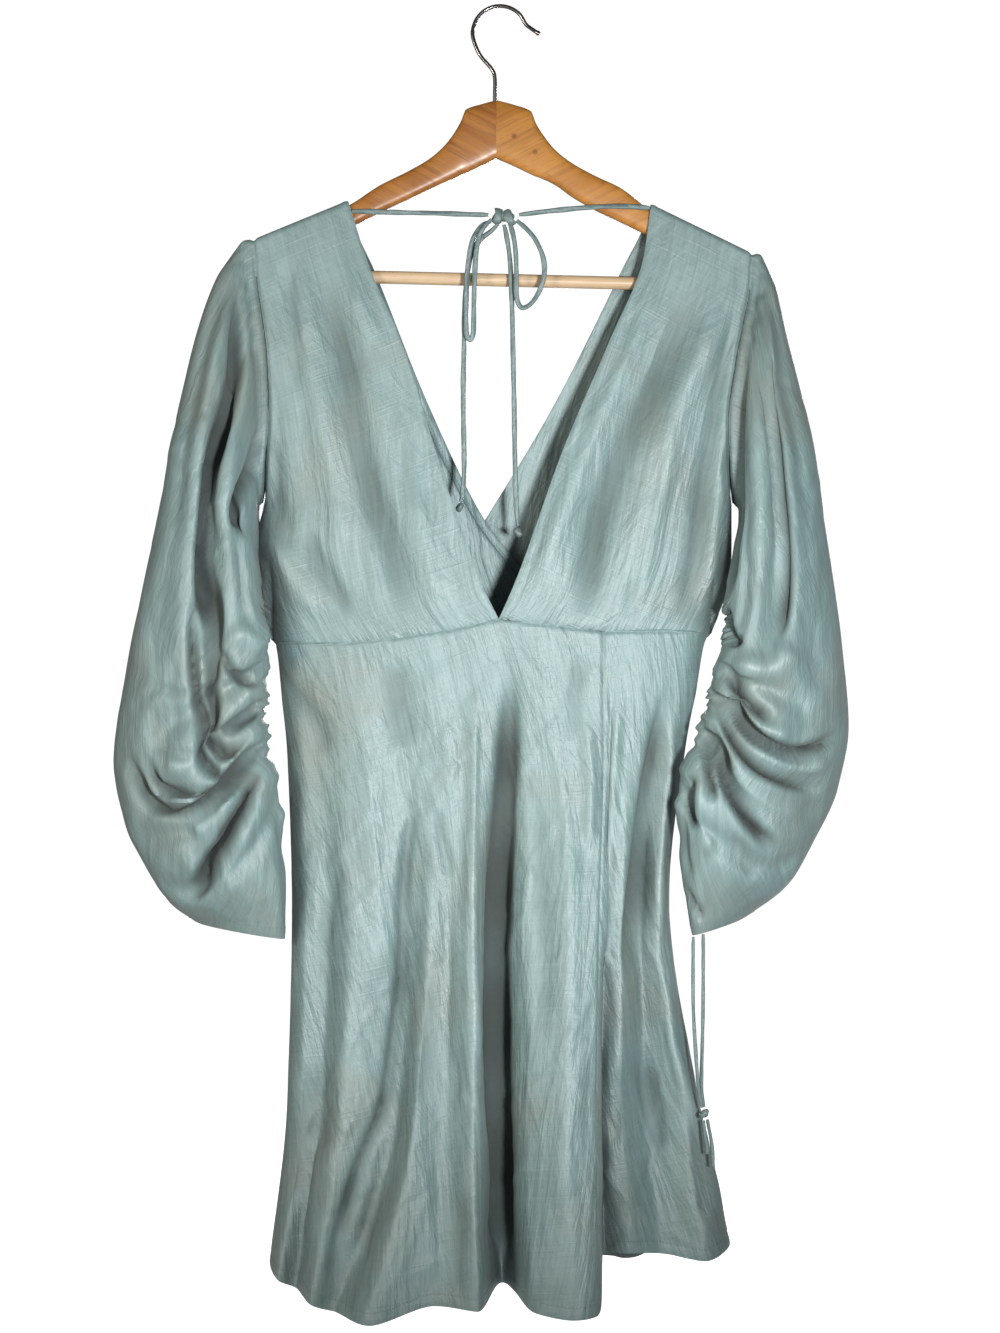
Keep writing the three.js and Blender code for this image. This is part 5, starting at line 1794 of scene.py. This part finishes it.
LOOP_RIGHT = [
    (14.2, -15.9, -183.3), (22, -17, -190), (29.5, -17.4, -199), (35.6, -17.6, -212),
    (37.6, -17.6, -224), (35.8, -17.6, -236), (31, -17.6, -247), (25, -17.8, -254.5),
    (18.5, -18, -257), (14.6, -18.4, -251), (13.6, -18.6, -240), (13.8, -18.6, -226),
    (13.2, -18.4, -210), (11.6, -18, -198), (9.5, -17.2, -189.5), (8.2, -16.4, -185.8),
]
END_LEFT = [
    (-1.6, -12.9, -185.6), (-7, -12.2, -191), (-18, -11.4, -200), (-25, -11.6, -214),
    (-28.6, -12, -236), (-30, -12.6, -262), (-30.4, -13.4, -290), (-31, -14.4, -318),
    (-31, -15.4, -346), (-30.4, -16.4, -374), (-30.4, -17.4, -400), (-31.6, -18, -412),
    (-33, -18.4, -420.5),
]
END_RIGHT = [
    (3.4, -13.4, -186.1), (5.4, -12.6, -195), (8, -12, -212), (9.4, -12.2, -232),
    (10.2, -12.6, -256), (10.8, -13.2, -284), (11.4, -14, -312), (12, -14.8, -342),
    (12.4, -15.6, -372), (13, -16.6, -402), (14, -17.6, -428), (15, -18, -441.5),
]
STRAND_INNER = [
    (160.9, -49.4, -784.7), (160.8, -49, -796), (160.8, -48.6, -810), (160.8, -48.2, -824),
    (160.9, -47.8, -839), (161.4, -47.4, -853), (162.2, -47, -867), (163.1, -46.6, -881),
    (164.1, -46.2, -895), (165.2, -46, -909), (166.6, -45.8, -919), (168.6, -45.4, -927.6),
]
STRAND_OUTER = [
    (169, -50.9, -782.4), (169.2, -50, -796), (169.2, -48.8, -810), (169.3, -47.4, -824),
    (169.3, -46, -839), (169.2, -44.8, -853), (169, -43.8, -867), (168.7, -43, -881),
    (168.3, -42.4, -895), (168.2, -42, -909), (169, -42.2, -919), (170.6, -42.8, -927.4),
]
TAIL_INNER = [
    (169.6, -44.6, -938), (170.2, -44.8, -943), (171, -45, -949), (171.9, -45, -955),
    (172.6, -44.8, -961), (173, -44.4, -966),
]
TAIL_OUTER = [
    (173, -43.4, -937.6), (174, -43, -943), (175.2, -42.8, -949), (176.4, -42.8, -956),
    (177.3, -42.8, -963), (177.8, -42.8, -970), (178, -42.8, -977),
]


class Trimmings:
    """The neck tie with its bow, and the drawstring of the right sleeve."""

    def strip(self, name: str, route: Route, finish: bpy.types.Material, seed: int,
              far_end: str, with_pieces: Sequence[bpy.types.Object] = (), lay: str = "hanging",
              **sizes: object) -> bpy.types.Object:
        """One strip in its finish, parented to the root.

        Args:
            name: The strip's name.
            route: Its route.
            finish: Its cloth.
            seed: The seed of its wander.
            far_end: What it ends in; not used.
            with_pieces: The pieces on it; not used.
            lay: How it lies; not used.
            **sizes: Sizes that differ from the tie's.

        Returns:
            The strip.
        """
        made = Rouleau(name, route, seed=seed, **sizes)
        piece = made.build()
        dress_in(piece, finish)
        made.declare(piece)
        return piece

    def build(self, finish: bpy.types.Material) -> None:
        """Makes the knots first, then the strips that carry them.

        Args:
            finish: The cloth of the strips.
        """
        knots = {}
        for knot in (
            Knot("bow_knot", (3.4, -15, -179.6), (8.6, 3.0, 4.4), (
                (-5.5, 0, 0.2, 3.9, 6.0, 0.12, 0.22, 3.3),
                (4.2, -0.4, -1.2, 3.6, 6.6, -0.2, -0.5, 3.6),
            )),
            Knot("bow_end_knot_left", (-33.8, -18.7, -424.9), (2.6, 2.4, 3.2), (
                (0, 0, -0.4, 2.7, 3.4, 0.3, 0.7, 2.0),
            )),
            Knot("bow_end_knot_right", (15.4, -18.3, -446.3), (2.8, 2.6, 3.4), (
                (0, 0, -0.3, 2.8, 3.6, -0.3, -0.6, 2.1),
            )),
            Knot("cuff_string_knot", (170.6, -44, -932.6), (3.3, 2.5, 3.6), (
                (-0.4, 0, 0.2, 2.7, 3.7, 0.2, 0.9, 1.9),
            )),
        ):
            knots[knot.name] = knot.build()
            dress_in(knots[knot.name], finish)
        narrow = {"half_wide": 1.55, "half_thick": 0.95, "sides": 12}
        self.strip("neck_tie_left", TIE_LEFT, finish, 3, "knot", [knots["bow_knot"]], "taut")
        self.strip("neck_tie_right", TIE_RIGHT[::-1], finish, 4, "knot", (), "taut")
        self.strip("bow_loop_left", LOOP_LEFT, finish, 5, "object")
        self.strip("bow_loop_right", LOOP_RIGHT, finish, 6, "object")
        self.strip("bow_end_left", END_LEFT, finish, 7, "knot", [knots["bow_end_knot_left"]])
        self.strip("bow_end_right", END_RIGHT, finish, 8, "knot", [knots["bow_end_knot_right"]])
        tails = [self.tail("cuff_tail_inner", TAIL_INNER, finish, 9, narrow),
                 self.tail("cuff_tail_outer", TAIL_OUTER, finish, 10, narrow)]
        self.strip("cuff_string_inner", STRAND_INNER, finish, 11, "knot",
                   [knots["cuff_string_knot"], *tails], **narrow)
        self.strip("cuff_string_outer", STRAND_OUTER, finish, 12, "knot", (), **narrow)

    def tail(self, name: str, route: Route, finish: bpy.types.Material, seed: int,
             sizes: dict) -> bpy.types.Object:
        """A short end of the drawstring below its knot, with a thick tip.

        Args:
            name: The tail's name.
            route: Its route.
            finish: Its cloth.
            seed: The seed of its wander.
            sizes: The drawstring's sizes.

        Returns:
            The tail.
        """
        made = Rouleau(name, route, seed=seed, pinch=(0.8, 1.25), **sizes)
        piece = made.build()
        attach(piece, "root")
        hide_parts(name)
        dress_in(piece, finish)
        return piece


# Folds as the viewer sees them: depth, width, x and z of each point, and a lean on two of them
SLEEVE_LEFT_FOLDS = fold_rows([
    (-18, 5, -220, -221, -222, -259, -224, -300, -230, -337, -239, -368, -246, -401, -250, -439, -252,
     -469, -250, -503, -246, -537),
    (5, 10, -213, -274, -218, -301, -223, -347, -231, -384, -236, -418, -239, -456),
    (-14, 5, -202, -350, -206, -377, -213, -397, -221, -413, -224, -428, -218, -442, -209, -450),
    (-12, 4.5, -256, -492, -260, -520, -261, -540, -259, -574, -256, -596, -252, -637, -245, -648, -235,
     -654, -217, -640, -202, -618),
    (-14, 5.5, -244, -473, -243, -511, -244, -540, -246, -566, -246, -596, -243, -625, -235, -632, -221,
     -625, -207, -610),
    (4, 8, -250, -529, -253, -566, -250, -603),
    (6, 11, -231, -527, -217, -534, -199, -546),
    (-9, 4, -241, -542, -233, -556, -223, -568, -204, -576),
    (4, 8, -223, -583, -211, -581, -197, -580),
    (-7, 4.5, -243, -618, -231, -613, -219, -605, -201, -595),
    (-15, 5.5, -320, -625, -311, -654, -298, -673, -276, -683, -254, -678, -235, -666, -217, -643, -204,
     -625),
    (-10, 4, -301, -632, -298, -649, -289, -663, -272, -667, -252, -666, -237, -658),
    (5, 5, -308, -653, -294, -672, -272, -675, -248, -672),
    (4, 10, -289, -641, -268, -648, -251, -658),
    (-24, 6.5, -204, -637, -212, -662, -217, -677, -228, -695, -235, -714, -243, -725, -252, -740, -261,
     -755, -268, -766),
    (6, 9, -221, -661, -236, -683, -251, -695, -265, -702),
    (4, 8, -212, -683, -221, -709, -233, -731, -245, -754),
    (-5, 4, -191, -654, -187, -684, -183, -714, -181, -744),
    (-2.5, 4, -302, -581, -289, -578, -275, -583, -261, -581),
    (-3, 4.5, -300, -625, -285, -628, -270, -636, -256, -632),
    (-2, 4, -297, -592, -293, -607, -296, -620),
    (-2.5, 5, -275, -546, -279, -580, -274, -614),
    (5, 14, -258, -316, -267, -376, -275, -440, -291, -514, -306, -574),
    (-3, 9, -279, -469, -289, -520, -296, -561),
    (-4, 3.5, -209, -202, -215, -216, -219, -235),
    (3, 3.5, -207, -211, -213, -224, -218, -245),
    (-4.5, 3.5, -206, -221, -212, -235, -216, -253),
    (3, 3.5, -205, -231, -210, -245, -214, -267),
    (-4.5, 3.5, -203, -241, -208, -253, -212, -275),
    (-3.5, 3.5, -202, -255, -206, -270, -209, -299),
    (-4, 10, -236, -673, -251, -711, -264, -731),
    (3, 8, -285, -699, -264, -724, -251, -762),
])
SLEEVE_RIGHT_FOLDS = fold_rows([
    (-13, 6, 227, -278, 230, -303, 234, -333, 238, -370, 243, -422, 246, -462, 241, -511, 233, -546),
    (5, 12, 216, -278, 218, -333, 222, -384, 225, -435, 224, -490),
    (-14, 5, 207, -269, 205, -299, 203, -341, 201, -385, 200, -429, 196, -456, 194, -482, 191, -508),
    (-11, 4, 190, -507, 192, -525, 198, -537, 207, -534),
    (7, 11, 196, -550, 214, -561, 235, -558, 250, -539),
    (-15, 5.5, 190, -558, 207, -585, 221, -598, 236, -606),
    (-15, 5, 189, -566, 204, -603, 226, -625, 252, -634, 278, -625, 292, -610),
    (-13, 5, 180, -577, 189, -601, 201, -625, 223, -648, 256, -662, 280, -663),
    (-16, 5.5, 178, -603, 184, -629, 193, -654, 207, -684, 237, -722),
    (5, 6, 211, -620, 234, -639, 259, -646, 282, -641),
    (5, 7, 189, -632, 206, -660, 234, -680, 264, -683),
    (4, 7, 200, -588, 221, -612, 251, -620),
    (-11, 4, 173, -607, 177, -643, 182, -678),
    (-10, 4, 162, -649, 161, -677, 167, -700),
    (5, 6, 168, -648, 172, -690, 180, -724),
    (-4, 4, 155, -673, 156, -716, 162, -743),
    (-6, 3.5, 155, -747, 163, -761, 175, -776),
    (-3, 7, 196, -699, 208, -726, 221, -741),
    (-5, 3.5, 214, -212, 218, -226, 224, -248),
    (3.5, 3.5, 212, -223, 216, -238, 221, -258),
    (-5, 3.5, 210, -235, 213, -248, 218, -269),
    (3, 3.5, 209, -246, 212, -262, 217, -284),
    (-4, 3.5, 207, -255, 211, -269, 214, -287),
    (3, 12, 251, -316, 260, -393, 265, -469, 268, -537),
    (-3, 9, 255, -503, 268, -554, 274, -588),
])
BACK_LEFT_FOLDS = fold_rows([
    (-7, 11, -155, -194, -148, -235, -134, -286, -124, -350, -109, -410, -92, -461, -80, -518),
    (-4, 8, -126, -248, -114, -291, -99, -339, -87, -380, -70, -435),
    (4, 10, -170, -197, -165, -265, -155, -333, -144, -393, -132, -469),
    (4, 9, -138, -206, -122, -248, -109, -308, -92, -367, -76, -418),
    (3.5, 10, -83, -367, -73, -418, -60, -478, -46, -513),
    (-4, 10, -202, -274, -197, -350, -190, -418, -177, -469),
    (4.5, 11, -202, -435, -185, -469, -170, -495, -153, -522),
    (-5, 7, -170, -435, -155, -469, -139, -495, -126, -520),
    (-2.5, 6, -182, -206, -177, -274, -173, -333),
])
BACK_RIGHT_FOLDS = fold_rows([
    (-8, 11, 165, -216, 156, -269, 132, -325, 104, -380, 82, -444, 72, -522),
    (6, 12, 192, -216, 184, -265, 158, -325, 140, -384, 123, -444, 110, -512),
    (5, 11, 128, -216, 116, -265, 90, -333, 66, -393, 48, -444, 34, -503),
    (-6, 9, 206, -248, 194, -299, 180, -367, 172, -427, 162, -495, 158, -524),
    (-3.5, 6, 139, -367, 128, -418, 116, -469, 109, -520),
    (3.5, 7, 189, -350, 184, -418, 180, -469, 178, -516),
    (-3, 6, 119, -248, 102, -291, 82, -342),
])
SKIRT_LEFT_FOLDS = fold_rows([
    (-6, 4.5, -77, -648, -76, -683, -79, -713, -83, -760, -83, -806, -88, -860, -93, -898, -100, -937,
     -123, -994, -135, -1047),
    (-4, 13, -92, -550, -87, -588, -81, -631),
    (-4, 9, -183, -564, -170, -588, -156, -612, -151, -639),
    (4, 13, -132, -563, -112, -622, -104, -699, -102, -775, -109, -843),
    (3.5, 9, -51, -571, -42, -636, -38, -716, -36, -801, -34, -911),
    (-2.5, 4.5, -56, -677, -51, -703, -41, -741),
    (-2.5, 5, -100, -639, -104, -673, -97, -716, -99, -750),
    (4, 5, -20, -561, -21, -639, -22, -724, -23, -790, -20, -877, -14, -964, -8, -1043, 0.4),
    (-14, 7, 10, -547, 6, -639, 1, -716, -3, -809, -2, -911, 0, -1005, 2, -1073),
    (4, 10, 37, -580, 51, -639, 57, -716, 60, -809, 58, -928, 51, -1039),
    (-3, 8, 26, -639, 34, -716, 38, -801, 34, -886),
    (-3.5, 7, -162, -894, -170, -964, -176, -1026),
    (-4.5, 6.5, -114, -971, -126, -1009, -138, -1049, -143, -1091),
    (-3, 5, -105, -996, -112, -1034, -117, -1073),
    (3.5, 8, -144, -954, -155, -1005, -163, -1056),
    (-2.5, 6, -148, -894, -156, -941, -160, -971),
    (-3, 8, -60, -809, -61, -877, -68, -945),
    (3, 9, -68, -971, -61, -1022, -58, -1090),
    (-3, 9, -38, -996, -36, -1047, -41, -1098),
    (-2.5, 6, 71, -544, 66, -561, 63, -588, 61, -622),
    (3, 7, 72, -588, 78, -656, 75, -724),
    (-2.5, 6, -138, -724, -148, -784, -151, -843),
    (-2, 6, -163, -690, -168, -741, -167, -792),
])
SKIRT_RIGHT_FOLDS = fold_rows([
    (-10, 6.5, 143, -568, 132, -622, 123, -673, 116, -733, 110, -784, 109, -830, -0.35),
    (4, 6, 150, -588, 141, -673, 136, -741, 139, -801),
    (4, 6, 104, -554, 99, -605, 95, -673, 90, -758, 86, -826),
    (-3.5, 8, 104, -894, 100, -937, 99, -971),
    (-4.5, 7, 119, -886, 128, -928, 139, -979),
    (4, 5, 134, -830, 146, -877, 158, -920, 173, -966, 184, -1010, 193, -1043),
    (-2.5, 6, 162, -954, 170, -996, 177, -1034),
    (3, 8, 95, -860, 94, -937, 95, -1030),
])
FRONT_LEFT_FOLDS = fold_rows([
    (-5, 11, -160, -205, -140, -290, -120, -380, -104, -470, -96, -530),
    (4, 9, -124, -210, -100, -300, -72, -390, -48, -480),
    (-4, 8, -196, -400, -176, -450, -158, -500, -150, -536),
    (3, 7, -176, -250, -168, -330, -160, -410),
])
FRONT_RIGHT_FOLDS = fold_rows([
    (-6, 12, 168, -210, 150, -300, 124, -390, 98, -470, 88, -530),
    (4, 8, 128, -215, 100, -300, 66, -400, 40, -490),
    (-3, 7, 196, -390, 182, -450, 170, -520),
    (3, 9, 190, -260, 176, -350, 160, -440),
])
FRONT_SKIRT_FOLDS = fold_rows([
    (-11, 9, -86, -560, -80, -660, -78, -780, -86, -900, -98, -1100),
    (5, 9, -122, -580, -118, -700, -130, -850, -146, -1000, -150, -1100),
    (-12, 9, 14, -600, 12, -720, 9, -850, 8, -980, 8, -1100),
    (4, 8, -40, -570, -36, -680, -40, -820, -46, -960),
    (-9, 8, 106, -560, 96, -680, 90, -800, 100, -940, 114, -1100),
    (4, 9, 58, -600, 54, -740, 56, -900, 66, -1090),
    (-4, 7, 150, -640, 140, -760, 150, -900, 170, -1060),
    (-4, 8, -160, -700, -158, -820, -172, -960, -186, -1080),
])


# Depths of the bodice's creases and lengths of the skirt's, least and most
LOW_CREASES = (0.1, 0.35)
LONG_CREASES = (30, 110)


class Dress:
    """The nine panels of the dress and their stitching."""

    def panels(self) -> list[ClothPanel]:
        """Every panel, with its cut and its folds.

        Returns:
            The panels, bodice first.
        """
        hang_left = ("hanger_arm_left",)
        hang_right = ("hanger_arm_right",)
        return [
            BodiceHalf("back_bodice_left", 110, 130, (0.215, 0.4), 0.053, hang_left,
                       BACK_LEFT_FOLDS,
                       (Crumple(11, 50, (-205, -540, -10, -200), 100, 16, depth=LOW_CREASES),),
                       side=Side.BACK, edge=OUTER_LEFT, neck=BACK_NECK_LEFT),
            BodiceHalf("back_bodice_right", 110, 130, (0.205, 0.39), 0.049, hang_right,
                       BACK_RIGHT_FOLDS,
                       (Crumple(12, 50, (0, -540, 215, -210), 74, 16, depth=LOW_CREASES),),
                       side=Side.BACK, edge=OUTER_RIGHT, neck=BACK_NECK_RIGHT),
            BodiceHalf("front_bodice_left", 90, 110, (0.285, 0.4), 0.06, hang_left,
                       FRONT_LEFT_FOLDS, (Crumple(13, 40, (-205, -540, 60, -200), 84, 24),),
                       side=Side.FRONT, edge=OUTER_LEFT, neck=FRONT_NECK_LEFT, tucked=True),
            BodiceHalf("front_bodice_right", 90, 110, (0.28, 0.39), 0.062, hang_right,
                       FRONT_RIGHT_FOLDS, (Crumple(14, 40, (-70, -540, 215, -210), 96, 24),),
                       side=Side.FRONT, edge=OUTER_RIGHT, neck=FRONT_NECK_RIGHT),
            SkirtPanel("back_skirt_left", 180, 200, (0.42, 0.57), 0.18,
                       ("back_bodice_left", "back_bodice_right"),
                       SKIRT_LEFT_FOLDS,
                       (Crumple(21, 110, (-220, -1090, 80, -560), 70, 24, LONG_CREASES),),
                       first=0, last=SEAM_RIB),
            SkirtPanel("back_skirt_right", 80, 200, (0.16, 0.54), 0.061, ("back_bodice_right",),
                       SKIRT_RIGHT_FOLDS,
                       (Crumple(22, 40, (80, -1090, 210, -560), 100, 20, LONG_CREASES),),
                       first=SEAM_RIB, last=SIDE_RIB),
            SkirtPanel("front_skirt", 160, 150, (0.5, 0.55), 0.21,
                       ("front_bodice_left", "front_bodice_right"),
                       FRONT_SKIRT_FOLDS,
                       (Crumple(23, 90, (-210, -1090, 210, -560), 84, 24, LONG_CREASES),),
                       first=SIDE_RIB, last=len(RIBS)),
            Sleeve("sleeve_left", 176, 224, (0.42, 0.62), 0.16, ("back_bodice_left",),
                   SLEEVE_LEFT_FOLDS, (Crumple(31, 70, (-335, -800, -180, -230), 75, 30),),
                   edge=OUTER_LEFT, rows=SLEEVE_LEFT),
            Sleeve("sleeve_right", 176, 224, (0.4, 0.6), 0.15, ("back_bodice_right",),
                   SLEEVE_RIGHT_FOLDS, (Crumple(32, 70, (140, -800, 300, -230), 105, 30),),
                   edge=OUTER_RIGHT, rows=SLEEVE_RIGHT),
        ]

    def build(self, finishes: dict[str, bpy.types.Material]) -> None:
        """Makes and dresses the panels, then sews their visible stitching.

        Args:
            finishes: The cloth of the bodice, skirt, sleeves and strip, and the thread.
        """
        made = {}
        for panel in self.panels():
            piece = panel.build()
            kind = "sleeve" if isinstance(panel, Sleeve) else panel.name.split("_")[1]
            dress_in(piece, finishes[kind])
            made[panel.name] = panel
        for name, panel, inset in (
            ("hem_stitching_left", "back_skirt_left", HEM_CHANNEL),
            ("hem_stitching_right", "back_skirt_right", HEM_CHANNEL),
            ("hem_stitching_front", "front_skirt", HEM_CHANNEL),
            ("cuff_stitching_left", "sleeve_left", CUFF_CHANNEL),
            ("cuff_stitching_right", "sleeve_right", CUFF_CHANNEL),
        ):
            points, normals = made[panel].line("v1", inset)
            dress_in(Stitching(name).build(points, normals), finishes["thread"])
        inner = made["front_bodice_left"]
        for sewing, inset, finish in (
            (Stitching("neckline_stitching"), STRIP_STITCHING, "thread"),
            # The turned strip's edge: a thin raised cord in the darker strip cloth, whose darkness
            # paints the shadow cast by the strip's free edge
            (Stitching("neckline_strip_edge", 3.0, 4.2, 0.6), STRIP_WIDTH, "strip"),
        ):
            points, normals = inner.line("u1", inset)
            dress_in(sewing.build(points - normals * inner.wall, -normals), finishes[finish])


def hanger(grain: bpy.types.NodeTree) -> None:
    """Makes the wooden hanger with its bar and hook.

    Args:
        grain: The node group of the wood's grain.
    """
    left = Wood("arm wood left", -28,
                (0.5, 0.205, 0.045), (0.36, 0.13, 0.024), (0.14, 0.04, 0.008))
    right = Wood("arm wood right", 28,
                 (0.62, 0.27, 0.055), (0.48, 0.19, 0.032), (0.21, 0.065, 0.01),
                 knots=((0.012, -0.11, 0.003, 0.8), (0.0298, -0.1235, 0.003, 0.7)))
    bar = Wood("bar wood", 1.4, (0.72, 0.53, 0.34), (0.62, 0.43, 0.26), (0.38, 0.23, 0.11), 0.05)
    dress_in(HangerArm("hanger_arm_left", ARM_LEFT).build(), left.material(grain))
    dress_in(HangerArm("hanger_arm_right", ARM_RIGHT).build(), right.material(grain))
    rod = Rod("hanger_bar", [(-187.6, 0, -226.8), (-62, 0, -229.8), (64, 0, -232.9),
                             (190.6, 0, -235.9)], 5.5, "bar_wood", 32)
    dress_in(rod.build(), bar.material(grain))
    hook = Rod("hanger_hook", hook_route(), 1.7, "steel", 16, 12, 1.25)
    dress_in(hook.build(), PlatedSteel("plated steel").material())


def main() -> None:
    """Builds the studio and every piece in order."""
    logging.basicConfig(level=logging.INFO, format="%(name)s: %(message)s")
    Studio().build()
    weave = slub_weave()
    finishes = {
        "bodice": SatinLinen("satin linen bodice", 2.0).material(weave),
        "skirt": SatinLinen("satin linen skirt", 9.0).material(weave),
        "sleeve": SatinLinen("satin linen sleeve", -3.0, creasing=0.0025).material(weave),
        "thread": SatinLinen("sewing thread", 0.0, 0.4, light=(0.5, 0.63, 0.6)).material(weave),
        "strip": SatinLinen("satin linen strip", 45.0, 0.6, (0.13, 0.195, 0.195),
                            (0.08, 0.12, 0.12), (0.22, 0.31, 0.31)).material(weave),
    }
    Trimmings().build(finishes["strip"])
    hanger(wood_grain())
    Dress().build(finishes)


if __name__ == "__main__":
    main()
